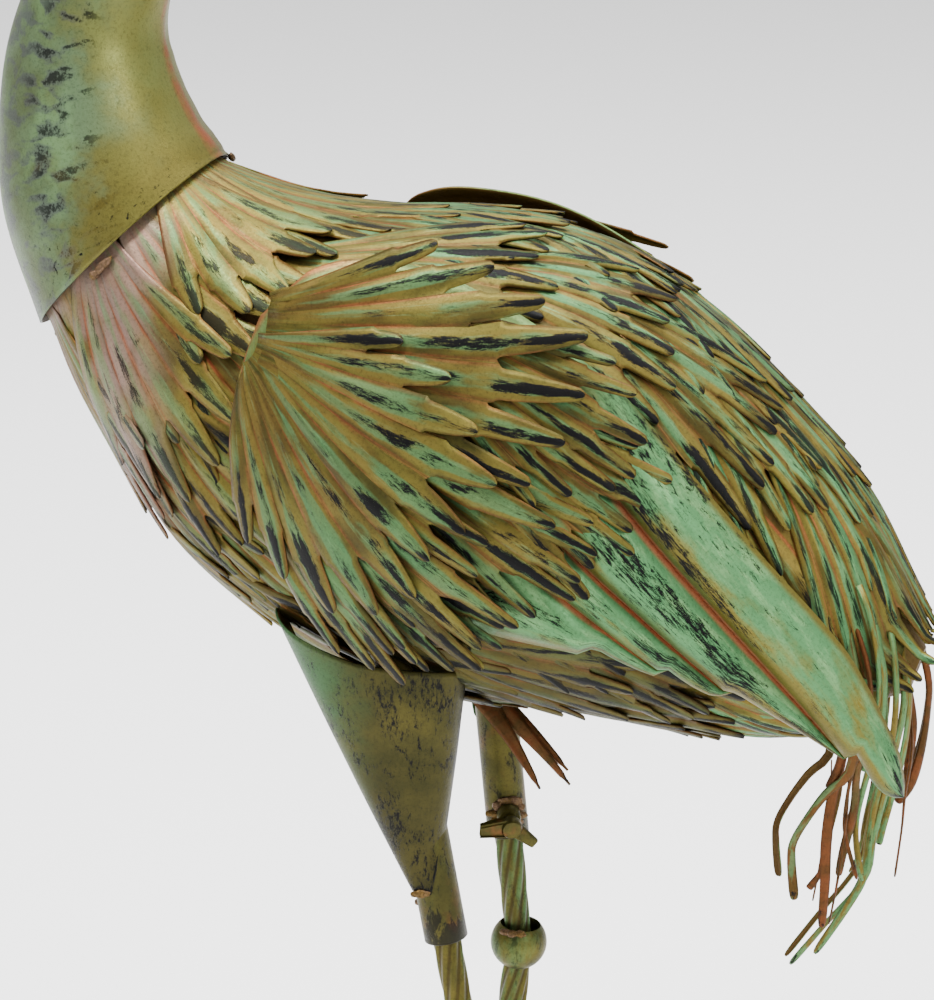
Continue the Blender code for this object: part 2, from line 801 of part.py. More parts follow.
def leg_tube(leg, body):
    """Tube with the screw's nut welded on, set into a bore in the body."""
    radius = LEG_TUBE_DIAMETER / 2
    bore = radius - LEG_TUBE_WALL
    length = (HIP_HEIGHT + TUBE_IN_BODY - leg.tube_low) / math.cos(leg.lean)
    ring = ((bore, 0), (radius, 0), (radius, length), (bore, length))
    tube = finish_solid(leg.word + "_leg_tube", turned(ring, LEG_SIDES), (0.26, 0.21, 0.09))
    drill = turned(disc_profile(radius + SEAM_GAP, 0, length + SEAM_GAP), LEG_SIDES)
    drill = finish_solid(leg.word + "_leg_bore", drill, HELPER_COLOUR)
    for item in (tube, drill):
        item.location = leg.at_height(leg.tube_low)
        item.rotation_euler = (0, -leg.lean, 0)
    combine(body, drill, "DIFFERENCE")

    reach = radius + NUT_HEIGHT
    nut = turned(disc_profile(NUT_ACROSS / 2, bore + LEG_TUBE_WALL / 2, reach), 6)
    hole = turned(disc_profile(SCREW_DIAMETER / 2 + SCREW_CLEARANCE, 0, 2 * reach), 10)
    for word, shape, operation in (("nut", nut, "UNION"), ("hole", hole, "DIFFERENCE")):
        helper = finish_solid(f"{leg.word}_screw_{word}", shape, HELPER_COLOUR)
        across_leg(leg, helper)
        combine(tube, helper, operation)


def thumb_screw(leg):
    """Screw with a winged head, through the nut and the tube against the rod."""
    radius = SCREW_DIAMETER / 2
    tip = LEG_ROD_DIAMETER / 2 + SEAM_GAP
    head = LEG_TUBE_DIAMETER / 2 + NUT_HEIGHT + SCREW_HEAD_STAND
    ear = 0.18 * WING_HEAD_SPAN
    profile = (
        (0, tip),
        (radius, tip),
        (radius, head),
        (1.7 * radius, head),
        (1.7 * radius, head + 1.2 * ear),
        (0, head + 1.2 * ear),
    )
    screw = finish_solid(leg.word + "_thumb_screw", turned(profile, 8), (0.26, 0.18, 0.10))
    across_leg(leg, screw)
    for end in (-1, 1):
        half = WING_HEAD_THICKNESS / 2
        lobe = turned(disc_profile(ear, -half, half), 8)
        for vert in lobe.verts:
            x, y, z = vert.co
            out = end * (WING_HEAD_SPAN / 2 - 1.4 * ear) + 1.4 * x
            vert.co = (
                out * math.cos(leg.ears) - z * math.sin(leg.ears),
                out * math.sin(leg.ears) + z * math.cos(leg.ears),
                head + 0.9 * ear + y,
            )
        helper = finish_solid(f"{leg.word}_screw_ear_{end + 2}", lobe, HELPER_COLOUR)
        across_leg(leg, helper)
        combine(screw, helper, "UNION")


def leg_rod(leg):
    """Twisted rod from the foot, bent at the knee, up inside the tube."""
    radius = LEG_ROD_DIAMETER / 2
    ball = KNEE_BALL_DIAMETER / 2
    marks = (
        (FOOT_HUB_HEIGHT + SEAM_GAP, 6),
        (leg.knee.z - ball, 1),
        (leg.knee.z, 1),
        (leg.knee.z + ball, 2),
        (leg.screw, 2),
        (HIP_HEIGHT - ROD_UNDER_HIP, 0),
    )
    heights = []
    for (low, steps), (high, _) in zip(marks, marks[1:]):
        heights += [low + (high - low) * step / steps for step in range(steps)]
    heights.append(marks[-1][0])
    inward = leg.side * math.pi / 2

    def place(around, along):
        z = heights[round(along * (len(heights) - 1))]
        point = round(around * 2 * ROD_LOBES)
        reach = radius if point % 2 == 0 else ROD_VALLEY * radius
        turn = 2 * math.pi * around + inward
        turn += 2 * math.pi * (z - leg.screw) / ROD_TWIST_PITCH
        return leg.at_height(z) + Vector((reach * math.cos(turn), reach * math.sin(turn), 0))

    shape = loft(2 * ROD_LOBES, len(heights) - 1, place)
    finish_solid(leg.word + "_leg_rod", shape, (0.25, 0.22, 0.11))


def knee_ball(leg):
    """Hollow ball around the rod, open wide at its top and close at its bottom."""
    outer = KNEE_BALL_DIAMETER / 2
    inner = outer - KNEE_BALL_WALL
    rod = LEG_ROD_DIAMETER / 2
    close = rod + SEAM_GAP
    wide = rod + outer * math.tan(leg.lean + math.radians(SHANK_LEAN)) + SEAM_GAP
    steps = 4
    profile = []
    for radius, order in ((outer, 1), (inner, -1)):
        first = math.asin(close / radius)
        last = math.pi - math.asin(min(0.95, wide / radius))
        for step in range(steps + 1):
            share = step / steps if order == 1 else 1 - step / steps
            polar = first + (last - first) * share
            profile.append((radius * math.sin(polar), -radius * math.cos(polar)))
    ball = finish_solid(leg.word + "_knee_ball", turned(profile, LEG_SIDES), (0.27, 0.20, 0.09))
    ball.location = leg.knee
    ball.rotation_euler = (0, math.radians(SHANK_LEAN), 0)


def thigh(leg):
    """Half cone of sheet on the outer side of the leg, open to the inner side."""
    close = LEG_TUBE_DIAMETER / 2 + SEAM_GAP
    low = HIP_HEIGHT - THIGH_LENGTH
    high = HIP_HEIGHT + THIGH_OVER_HIP

    def place(around, along):
        height = low + (high - low) * along
        slope = (around - 0.5) * -0.018 * along
        half = close + (THIGH_WIDTH / 2 - close) * along**0.85
        angle = math.pi * around
        across = -half * math.cos(angle)
        cone = (close + 0.4 * THIGH_WIDTH / 2 * along) * max(0.0, math.sin(angle)) ** 0.8
        snug = (1.03 + 0.15 * along) * close**2
        out = max(cone, math.sqrt(max(0.0, snug - across**2)))
        line = leg.at_height(height)
        shift = across - 0.05 * THIGH_WIDTH * along
        return Vector((line.x + shift, line.y - leg.side * out, height + slope))

    shape = sheet_grid(6, 5, place)
    inside = leg.at_height(HIP_HEIGHT - 0.05)
    finish_sheet(leg.word + "_thigh", shape, inside, (0.27, 0.30, 0.14))


def toe_shape(length, angle):
    """A toe with a flat underside and a rounded back, tapering to a blunt tip."""
    turn = math.radians(angle)
    ahead = Vector((-math.cos(turn), -math.sin(turn), 0))
    aside = Vector((math.sin(turn), -math.cos(turn), 0))
    rows = ((0.0, 1.0, 0.62), (0.35, 0.86, 0.56), (0.80, 0.66, 0.40), (1.0, 0.30, 0.16))

    def place(around, along):
        share, width, height = curve_row(rows, along)
        step = round(around * 4)
        side = (-0.5, -0.28, 0.28, 0.5, -0.5)[step]
        lift = (0.0, 1.0, 1.0, 0.0, 0.0)[step]
        centre = ahead * length * share
        return centre + aside * side * width * TOE_WIDTH + Vector((0, 0, lift * height * TOE_WIDTH))

    return loft(4, len(rows) - 1, place)


def curve_row(rows, along):
    return rows[round(along * (len(rows) - 1))]


def foot(leg):
    """Round hub under the rod with three toes ahead and one behind."""
    radius = FOOT_HUB_DIAMETER / 2
    top = FOOT_HUB_HEIGHT
    rod = LEG_ROD_DIAMETER / 2
    profile = ((0, 0), (radius, 0), (radius * 0.95, top * 0.45), (rod * 1.1, top), (0, top))
    hub = finish_solid(leg.word + "_foot", turned(profile, 12), (0.20, 0.16, 0.08))
    centre = leg.at_height(top)
    hub.location = (centre.x, centre.y, 0)
    for number, angle in enumerate((-TOE_SPREAD, 0, TOE_SPREAD, 180)):
        length = HIND_TOE_LENGTH if angle == 180 else FRONT_TOE_LENGTH * (1 - abs(angle) / 400)
        toe = finish_solid(f"{leg.word}_toe_{number}", toe_shape(length, angle), (0.2, 0.16, 0.08))
        toe.location = hub.location
        combine(hub, toe, "UNION")


def gather_figure():
    """Hang every piece on one empty and set the origin under the figure's middle."""
    bpy.context.view_layer.update()
    graph = bpy.context.evaluated_depsgraph_get()
    low = [math.inf] * 3
    high = [-math.inf] * 3
    for item in bpy.data.objects:
        if item.hide_render:
            continue
        shown = item.evaluated_get(graph)
        for corner in shown.bound_box:
            point = shown.matrix_world @ Vector(corner)
            for axis in range(3):
                low[axis] = min(low[axis], point[axis])
                high[axis] = max(high[axis], point[axis])
    figure = bpy.data.objects.new("figure", None)
    bpy.context.collection.objects.link(figure)
    for item in bpy.data.objects:
        if item is not figure:
            item.parent = figure
    figure.location = (-(low[0] + high[0]) / 2, -(low[1] + high[1]) / 2, 0)


def build():
    for item in list(bpy.data.objects):
        bpy.data.objects.remove(item, do_unlink=True)
    shape = body_shape()
    skin = BVHTree.FromBMesh(shape)
    body = finish_solid("body", shape, (0.20, 0.12, 0.06))
    body_plates(skin)
    loose_plate(skin)
    wings(skin)
    crest(*head(neck()))
    tail_fringe(skin)
    for leg in LEGS:
        leg_tube(leg, body)
        thumb_screw(leg)
        leg_rod(leg)
        knee_ball(leg)
        thigh(leg)
        foot(leg)
    gather_figure()


build()
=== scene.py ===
"""Garden heron in painted sheet metal, dressed for its render.

The file has the layout of an add-on and is run as a script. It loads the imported
model as a fixed frame and builds every visible piece around it. The drawing units
are millimetres of the bird's own side view, in which the bird faces -X and its left
side faces -Y.
"""

import math
import random

import bmesh
import bpy
from bpy.props import FloatProperty, FloatVectorProperty, IntProperty, PointerProperty
from mathutils import Matrix, Vector, noise


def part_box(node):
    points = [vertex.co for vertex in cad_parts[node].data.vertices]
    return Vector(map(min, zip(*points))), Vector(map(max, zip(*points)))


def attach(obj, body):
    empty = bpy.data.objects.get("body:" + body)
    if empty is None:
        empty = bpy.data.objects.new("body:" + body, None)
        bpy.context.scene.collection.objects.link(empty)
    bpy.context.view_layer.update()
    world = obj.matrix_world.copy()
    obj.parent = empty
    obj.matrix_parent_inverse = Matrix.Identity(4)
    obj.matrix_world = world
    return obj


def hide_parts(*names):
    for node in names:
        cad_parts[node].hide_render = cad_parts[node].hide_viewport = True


bl_info = {
    "name": "Sheet metal heron",
    "version": (1, 0, 0),
    "blender": (4, 5, 0),
    "location": "3D View > Sidebar > Heron",
    "description": "Feather plates, sheets, legs and worn paint of a garden heron",
    "category": "Add Mesh",
}

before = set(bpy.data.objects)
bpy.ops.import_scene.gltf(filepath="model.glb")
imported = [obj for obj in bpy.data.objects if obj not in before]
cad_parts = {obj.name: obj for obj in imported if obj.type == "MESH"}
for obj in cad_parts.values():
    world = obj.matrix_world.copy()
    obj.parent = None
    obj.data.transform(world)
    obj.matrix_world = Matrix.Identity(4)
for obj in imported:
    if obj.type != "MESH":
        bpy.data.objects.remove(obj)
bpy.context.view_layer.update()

UNIT = 0.001
FOOT_REACH = 0.112  # front toe of a foot, from its middle
LEFT_FOOT_X = -0.00751  # middle of the left foot in the side drawing

# Each row: along the body, then above, below and half as wide there
BODY_STATIONS = (
    (0, 58, 57, 52),
    (50, 73, 79, 66),
    (100, 94, 102, 79),
    (150, 116, 110, 86),
    (200, 130, 110, 88),
    (250, 131, 100, 86),
    (300, 119, 83, 78),
    (350, 97, 68, 64),
    (400, 65, 50, 44),
    (450, 12, 12, 10),
)
BODY_LENGTH = 450
BODY_START = (-175, 642)

WING_SHOULDER = (-77.5, 609)
WING_HEADING = -30.1
WING_RAISE = {1: 0.0, -1: 2.0}
WING_END = {1: 371, -1: 345}
WING_TIP_FROM = 320
WING_TOP = (
    (-9, 21),
    (0, 52),
    (30, 76),
    (80, 90),
    (146, 88),
    (189, 76),
    (253, 53),
    (307, 33),
    (327, 22),
    (343, 11.5),
    (355, 3.5),
    (363, -4.5),
    (368, -11),
    (371, -17),
)
WING_FOOT = (
    (-9, 19),
    (-4, -8),
    (12, -40),
    (41, -69),
    (83, -80),
    (120, -70),
    (165, -52),
    (206, -33),
    (269, -20),
    (337, -17),
    (356, -22),
    (364, -22),
    (369, -19.5),
    (371, -17.5),
)
WING_GROOVES = ((-11.7, -0.22), (6.5, -0.294), (38.8, -0.40))  # height at 200, slope
WING_TIPS = (150, 206, 240, 269, 337, 371)  # ends of the long feathers, along the foot

# Each row: the neck's rear outline, its front outline and half its width
NECK_ROWS = (
    (-128.4, 687.0, -221.6, 597.0, 60),
    (-133.5, 693.5, -240.5, 652.0, 55),
    (-145.1, 710.7, -242.9, 695.3, 48),
    (-154.1, 732.4, -237.9, 737.6, 42),
    (-156.1, 755.6, -223.9, 776.4, 35.5),
    (-142.6, 812.1, -197.4, 827.9, 28.5),
    (-135.0, 871.1, -185.0, 868.9, 25),
    (-155.5, 941.1, -194.5, 922.9, 21.5),
    (-200.9, 998.7, -227.1, 971.3, 19),
)

# Each row: root along the body, degrees from the back, heading in degrees away from
# the back, length, half spread, fingers, shortening of the outer fingers, lift
BODY_FANS = {
    "collar_plates": (
        (-12, 4, 3, 150, 18, 7, 0.20, 0.2),
        (-12, 28, 18, 114, 19, 5, 0.22, 2.4),
        (-13, 57, 2, 112, 22, 5, 0.25, 0.6),
        (-12, 84, 20, 128, 25, 6, 0.25, 2.6),
        (-13, 114, 10, 116, 23, 6, 0.25, 0.6),
        (-13, 144, 4, 112, 23, 7, 0.25, 2.6),
        (-13, 176, 0, 110, 21, 6, 0.25, 0.6),
    ),
    "breast_plates": (
        (40, 76, 14, 104, 23, 6, 0.25, 0.4),
        (52, 102, 8, 104, 24, 6, 0.25, 2.2),
        (48, 132, 6, 110, 24, 7, 0.25, 0.4),
        (56, 162, 2, 110, 23, 7, 0.25, 2.2),
        (98, 118, 4, 106, 24, 7, 0.25, 0.4),
        (104, 148, 4, 110, 23, 7, 0.25, 2.2),
        (106, 178, 0, 110, 21, 7, 0.25, 0.4),
    ),
    "back_plates": (
        (70, 8, 0, 134, 22, 7, 0.25, 2.0),
        (80, 40, -6, 142, 24, 8, 0.26, 3.4),
        (96, 68, -2, 122, 24, 7, 0.25, 2.2),
        (144, 4, 0, 136, 22, 7, 0.25, 1.5),
        (148, 34, -2, 146, 23, 8, 0.22, 2.8),
        (146, 62, 2, 128, 22, 7, 0.22, 1.6),
        (208, 4, 2, 136, 23, 7, 0.25, 1.0),
        (214, 30, 6, 142, 21, 8, 0.18, 2.3),
    ),
    "flank_plates": (
        (222, 68, 8, 212, 9, 1, 0.0, -0.6),
        (240, 94, 2, 196, 9, 1, 0.0, -0.8),
    ),
    "belly_plates": (
        (154, 98, 4, 116, 23, 7, 0.25, 2.0),
        (158, 134, 2, 118, 23, 7, 0.25, 0.4),
        (162, 166, 0, 118, 21, 7, 0.25, 2.0),
        (216, 92, 6, 118, 23, 7, 0.25, 0.4),
        (220, 122, 6, 118, 23, 7, 0.25, 2.0),
        (222, 152, 4, 118, 22, 7, 0.25, 0.4),
        (272, 104, 4, 108, 22, 7, 0.25, 2.0),
        (276, 138, 2, 106, 21, 6, 0.25, 0.4),
        (278, 172, 0, 104, 19, 6, 0.25, 2.0),
    ),
    "tail_plates": (
        (264, 22, 18, 124, 19, 7, 0.14, 1.6),
        (272, 4, 3, 126, 20, 7, 0.20, 0.4),
        (322, 46, 16, 118, 10, 3, 0.10, -0.2),
        (330, 20, 15, 126, 17, 7, 0.12, 1.0),
        (334, 2, 3, 112, 17, 6, 0.18, 0.0),
        (342, 110, 8, 100, 18, 6, 0.20, 0.8),
        (346, 146, 2, 88, 18, 5, 0.20, 0.0),
        (388, 2, 0, 70, 14, 5, 0.16, 0.0),
    ),
}
PLEATS = {"collar_plates": 0.7, "flank_plates": 0.12}  # groups with flatter pleats, as a share
LOOSE_TIPS = ((40.5, 372.2, -6), (54.1, 372.9, 2), (51.9, 378.8, 6))  # x, z, y of the loose plate's tips
PLATE_RISE = 0.0026  # how far the far end of a body plate stands off, in metres
SKIRT_FROM = 330  # where the plates behind the rump start to stand off more

# The solids that each group of plates stands for, on one side or both
STANDS_FOR = {
    "collar_plates": ("collar_upper", "collar_side", "collar_lower"),
    "breast_plates": ("breast", "breast_side"),
    "back_plates": ("nape", "shoulder", "mantle", "back", "flank"),
    "belly_plates": ("belly_front", "belly_side", "belly_rear", "vent"),
    "flank_plates": (),
    "tail_plates": ("rump", "tail_back", "tail_side", "tail_end"),
}

# Each row: root behind and above the shoulder, degrees up from the wing's middle
# line, length, half spread, fingers, shortening of the outer fingers, lift, and how
# far the longest finger lies below the middle one
WING_FANS = (
    (58, -46, -4, 112, 16, 6, 0.20, 0.4, 0.0),
    (62, 8, -3, 128, 16, 6, 0.16, 0.8, 0.0),
    (84, 48, -3, 124, 18, 7, 0.18, 1.4, 0.2),
    (48, 66, 0, 132, 17, 7, 0.20, 2.2, 0.0),
    (16, -40, -20, 134, 15, 6, 0.22, 3.0, 0.0),
    (2, -18, -10, 168, 17, 7, 0.22, 4.0, 0.0),
    (-2, 18, 28, 164, 25, 8, 0.24, 3.8, 0.42),
    (-2, 3, -10, 142, 50, 11, 0.54, 5.8, 0.04),
)
WING_RISE = 0.034  # how steeply a wing plate stands off the one below
WING_PLEATS = 0.8  # height of their pleats, as a share of the usual one

# Wide plates have blunter roots. On the far wing the plate that points up is turned
# down and shorter, and the plates with the highest roots are shorter too.
WIDE_SPREAD, WIDE_ROOT_HALF = 21, 17.0
FAR_TURN, FAR_SHORTER = 24, 30
HIGH_ROOT, FAR_HIGH_SHORTER = 40, 32

# Each strip: width, tone from brown to gold, then places (x, z, y) down along it
STRIPS = (
    (5.0, 0.45, (191, 514, -46), (203, 487, -45), (208, 451, -42), (206, 414, -38),
     (194, 399, -36), (185, 385, -36), (178, 371, -35), (177, 360, -34), (179, 340, -34)),
    (5.2, 0.10, (198, 469, -40), (203, 449, -38), (203, 430, -36), (200, 412, -35),
     (196, 394, -34), (194, 371, -34), (194, 351, -34), (193, 327, -34)),
    (2.4, 0.15, (199, 511, -44), (206, 491, -42), (213, 467, -40), (214, 445, -36),
     (210, 424, -33), (205, 408, -31), (202, 386, -30), (203, 374, -30), (209, 353, -30)),
    (4.2, 0.30, (205, 495, -42), (212, 469, -36), (212, 437, -32), (207, 407, -28),
     (206, 389, -27), (201, 365, -26), (199, 352, -26)),
    (4.0, 0.70, (198, 514, -26), (214, 490, -36), (217, 476, -36), (220, 459, -35), (218, 432, -30),
     (211, 404, -25), (207, 384, -24), (207, 369, -24), (210, 349, -22)),
    (4.2, 0.80, (202, 516, -18), (219, 491, -28), (225, 458, -30), (223, 425, -24), (216, 397, -18),
     (212, 375, -16), (210, 351, -15), (203, 334, -14), (185, 302, -10)),
    (3.6, 0.90, (208, 506, -10), (224, 480, -20), (228, 446, -22), (223, 417, -16), (218, 392, -12),
     (213, 368, -10), (211, 350, -9), (204, 337, -8), (190, 318, -6), (171, 291, -2)),
    (4.2, 0.90, (210, 496, -6), (224, 470, -13), (229, 446, -14), (226, 415, -8), (220, 389, -4),
     (216, 372, -3), (214, 361, -2)),
    (1.6, 0.05, (228, 445, -4), (229, 413, -2), (226, 388, 0), (225, 370, 0), (222, 343, 2)),
    (4.8, 0.10, (221, 481, 8), (227, 470, 10), (234, 446, 10), (234, 429, 10),
     (232, 410, 8), (228, 393, 6), (221, 381, 6)),
    (4.2, 0.05, (221, 465, 2), (227, 434, 4), (228, 418, 4), (226, 402, 4), (225, 393, 4)),
    (3.8, 0.05, (204, 439, -34), (200, 423, -30), (197, 409, -28), (193, 398, -28)),
    (1.5, 0.05, (205, 405, -30), (203, 384, -31), (201, 363, -31), (199, 347, -31), (196, 328, -31)),
    (3.4, 0.10, (196, 379, -34), (193, 361, -32), (190, 353, -31), (185, 345, -30)),
    (2.2, 0.60, (217, 478, -30), (219, 456, -26), (219, 429, -20), (214, 402, -14),
     (210, 385, -12), (206, 360, -10), (201, 347, -8)),
    (3.6, 0.85, (196, 522, -28), (210, 502, -40), (216, 481, -40), (218, 455, -36),
     (215, 427, -30), (210, 408, -26)),
)
WING_PLATE_NODES = ("upper_cover", "lower_cover", "shoulder_cover", "upper_quills", "lower_quills")

# Legs, in metres
HIP = 0.450
HALF_TRACK = 0.055
SCREW_TURN, SCREW_TILT = 24, 11  # degrees about the leg, and down
TUBE_RADIUS = 0.011
ROD_RADIUS = 0.0075
ROD_LEAN = math.radians(5.5)  # of both rods below the knee

# Each lamp: place from the bird and size in metres, power in watts
LAMPS = {
    "key light": ((-1.0, -1.1, 3.0), 0.8, 230),
    "fill light": ((2.4, -1.6, 1.3), 1.2, 60),
    "top light": ((0.5, 0.4, 3.2), 3.0, 330),
}

# The camera: how far around and up it stands, its distance in metres, its lens in mm
VIEW_TURN, VIEW_TILT = math.radians(17), math.radians(17)
VIEW_FAR, LENS = 1.9, 136.8


class HeronSizes(bpy.types.PropertyGroup):
    """Sizes of the thin parts that the frame leaves open."""

    sheet: FloatProperty(
        name="Sheet", description="Thickness of the metal sheet", default=0.0011,
        min=0.0004, max=0.003, unit="LENGTH",
    )
    pleat: FloatProperty(
        name="Pleat", description="Height of the pressed pleat along each finger",
        default=0.0021, min=0.0, max=0.006, unit="LENGTH",
    )
    slot: FloatProperty(
        name="Slot", description="Width of the slot between two finger tips",
        default=0.0029, min=0.001, max=0.01, unit="LENGTH",
    )
    tip_curl: FloatProperty(
        name="Tip curl", description="How far the finger tips bend away from the body",
        default=0.0024, min=0.0, max=0.015, unit="LENGTH",
    )
    wing_flute: FloatProperty(
        name="Wing flute", description="Height of the long feathers pressed in the wings",
        default=0.0105, min=0.0, max=0.014, unit="LENGTH",
    )
    rod_flutes: IntProperty(
        name="Rod flutes", description="Flutes around a twisted leg rod", default=8,
        min=4, max=14,
    )


def colour_property(name, description, default):
    return FloatVectorProperty(
        name=name, description=description, default=default, size=3, min=0.0, max=1.0,
        subtype="COLOR",
    )


class HeronColours(bpy.types.PropertyGroup):
    """Coats of paint, from the ground coat to the dry-brushed black."""

    gold: colour_property("Gold", "Ochre gold ground coat", (0.122, 0.101, 0.019))
    olive: colour_property("Olive", "Darker, greener gold", (0.044, 0.041, 0.009))
    mint: colour_property("Mint", "Pale green on what stands out", (0.060, 0.165, 0.064))
    pale: colour_property("Pale mint", "Palest highlights", (0.165, 0.300, 0.122))
    coral: colour_property("Coral", "Red in the grooves and by the roots", (0.225, 0.055, 0.022))
    dusk: colour_property("Dusk", "Purple grey around the neck's smudges", (0.053, 0.051, 0.065))
    lilac: colour_property("Lilac", "Grey lilac on the breast", (0.190, 0.132, 0.112))
    rose: colour_property("Rose", "Bright coral in the wings' grooves", (0.380, 0.155, 0.085))
    black: colour_property("Black", "Dry-brushed streaks", (0.005, 0.005, 0.005))
    # Also the colour of the painted shade in the feathers' grooves, the rods' flutes and under the toes.
    under: colour_property("Underside", "Dark brown inside coat", (0.034, 0.021, 0.005))


def sizes():
    return bpy.context.scene.heron_sizes


def colours():
    return bpy.context.scene.heron_colours


# Drawing of the bird, read in metres


def figure_shift():
    """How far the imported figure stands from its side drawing."""
    body_low, body_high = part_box("body")
    foot_low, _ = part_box("left_foot")
    across = (body_low.y + body_high.y) / 2
    return Vector((foot_low.x + FOOT_REACH - LEFT_FOOT_X, across, 0.0))


SHIFT = figure_shift()


def drawn(x, z, y=0.0):
    """A place of the side drawing; x and z in millimetres, y in metres."""
    return Vector((x * UNIT, y, z * UNIT)) + SHIFT


def ease(share):
    share = min(1.0, max(0.0, share))
    return share * share * (3 - 2 * share)


def curve_at(rows, place):
    """A smooth curve through rows of (place, value, ...), read at one place."""
    last = len(rows) - 1
    index = 0
    while index < last - 1 and place > rows[index + 1][0]:
        index += 1
    start, end = rows[index], rows[index + 1]
    before, after = rows[max(index - 1, 0)], rows[min(index + 2, last)]
    step = end[0] - start[0]
    share = (place - start[0]) / step
    values = []
    for column in range(1, len(start)):
        leave = (end[column] - before[column]) / (end[0] - before[0]) * step
        arrive = (after[column] - start[column]) / (after[0] - start[0]) * step
        values.append(
            (2 * share**3 - 3 * share**2 + 1) * start[column]
            + (share**3 - 2 * share**2 + share) * leave
            + (3 * share**2 - 2 * share**3) * end[column]
            + (share**3 - share**2) * arrive
        )
    return values


def body_axis():
    point = drawn(*BODY_START)
    steps = []
    for place in range(BODY_LENGTH + 1):
        heading = -math.radians(16 + 28 * math.exp(-place / 150))
        steps.append((point.copy(), heading))
        point += UNIT * Vector((math.cos(heading), 0, math.sin(heading)))
    return steps


AXIS = body_axis()


def on_body(along, angle, lift=0.0):
    """Point over the body's skin; angle 0 is the back and 90 the left side."""
    step = min(BODY_LENGTH, max(0, int(along)))
    start, heading = AXIS[step]
    ahead = Vector((math.cos(heading), 0, math.sin(heading)))
    centre = start + ahead * (along - step) * UNIT
    above, below, half = curve_at(BODY_STATIONS, min(BODY_LENGTH, max(0.0, along)))
    turn = math.radians(angle)
    depth = (above if math.cos(turn) > 0 else below) * UNIT + lift
    up = Vector((-math.sin(heading), 0, math.cos(heading)))
    across = (half * UNIT + lift) * math.sin(turn)
    return centre + up * depth * math.cos(turn) - Vector((0, across, 0))


def on_wing(side, behind, above, out=0.0):
    """Point on the inner face of a wing; side is 1 on the left and -1 on the right."""
    heading = math.radians(WING_HEADING + WING_RAISE[side])
    x = WING_SHOULDER[0] + behind * math.cos(heading) - above * math.sin(heading)
    z = WING_SHOULDER[1] + behind * math.sin(heading) + above * math.cos(heading)
    bulge = 8 + 17 * ease(behind / 90) - 58 * ease((behind - 120) / 250)
    reach = (88 + bulge - 0.003 * above * above) * UNIT + out
    return drawn(x, z, -side * reach)


# Mesh helpers


def new_shape():
    """An empty bmesh with the two layers that the paints read.

    form holds four values of a place: on most pieces how far it stands out, how far
    along the piece it lies, and two tones. run holds across and along in centimetres,
    and a shift of its own.
    """
    shape = bmesh.new()
    shape.verts.layers.float_color.new("form")
    shape.verts.layers.float_vector.new("run")
    return shape


def layers_of(shape):
    return shape.verts.layers.float_color["form"], shape.verts.layers.float_vector["run"]


def mark(vert, layers, form, run):
    vert[layers[0]] = form
    vert[layers[1]] = run


def sheet_of(shape, across, along, place):
    """Add a grid; place(column, row) gives each point, its form and its run.

    Returns the grid's rows of vertices.
    """
    layers = layers_of(shape)
    made = bmesh.ops.create_grid(shape, x_segments=across, y_segments=along, size=1)
    verts = made["verts"]
    rows = []
    for row in range(along + 1):
        line = verts[row * (across + 1):(row + 1) * (across + 1)]
        for column, vert in enumerate(line):
            point, form, run = place(column, row)
            vert.co = point
            mark(vert, layers, form, run)
        rows.append(line)
    return rows


def grid_faces(rows):
    """Faces of a placed grid, found by the corner nearest its first point."""
    faces = {}
    for row, (low, high) in enumerate(zip(rows, rows[1:])):
        for column in range(len(low) - 1):
            shared = set(low[column].link_faces) & set(high[column + 1].link_faces)
            faces[(column, row)] = shared.pop()
    return faces


def face_towards(faces, direction):
    """Turn a patch of faces so that, taken together, they look in a direction."""
    total = Vector()
    for face in faces:
        face.normal_update()
        total += face.normal * face.calc_area()
    if total.dot(direction) < 0:
        for face in faces:
            face.normal_flip()


def join_seam(shape):
    bmesh.ops.remove_doubles(shape, verts=shape.verts, dist=2e-5)


def close_tube(shape):
    """Join the seam of a rolled grid and close its open ends."""
    join_seam(shape)
    ends = [edge for edge in shape.edges if edge.is_boundary]
    bmesh.ops.holes_fill(shape, edges=ends, sides=0)
    bmesh.ops.recalc_face_normals(shape, faces=shape.faces)


def add_piece(name, shape, *paints, sharp=40):
    """Turn a bmesh into a shown object with its paints."""
    mesh = bpy.data.meshes.new(name)
    shape.to_mesh(mesh)
    shape.free()
    mesh.shade_smooth()
    mesh.set_sharp_from_angle(angle=math.radians(sharp))
    for paint in paints:
        mesh.materials.append(paint)
    piece = bpy.data.objects.new(name, mesh)
    bpy.context.scene.collection.objects.link(piece)
    return piece


def thicken(piece, thickness):
    """Give a sheet its thickness inwards, with the second paint on the inner side."""
    wall = piece.modifiers.new("Wall", "SOLIDIFY")
    wall.thickness = thickness
    wall.offset = -1
    wall.use_even_offset = False
    wall.material_offset = 1


def settle(piece, slot, *nodes):
    """Hang a finished piece on the body and let it stand for its solids."""
    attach(piece, "root")
    if nodes:
        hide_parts(*nodes)


def hang_sheet(name, shape, paint, slot, nodes, share=1.0, sharp=40):
    """Finish a pressed sheet: paints, wall and the solids that it stands for.

    share is its thickness as a share of the usual sheet's.
    """
    piece = add_piece(name, shape, paint_named(paint), paint_named("inside"), sharp=sharp)
    thicken(piece, sizes().sheet * share)
    settle(piece, slot, *nodes)


def hang_solid(name, shape, paint, slot, node, sharp=50):
    settle(add_piece(name, shape, paint_named(paint), sharp=sharp), slot, node)


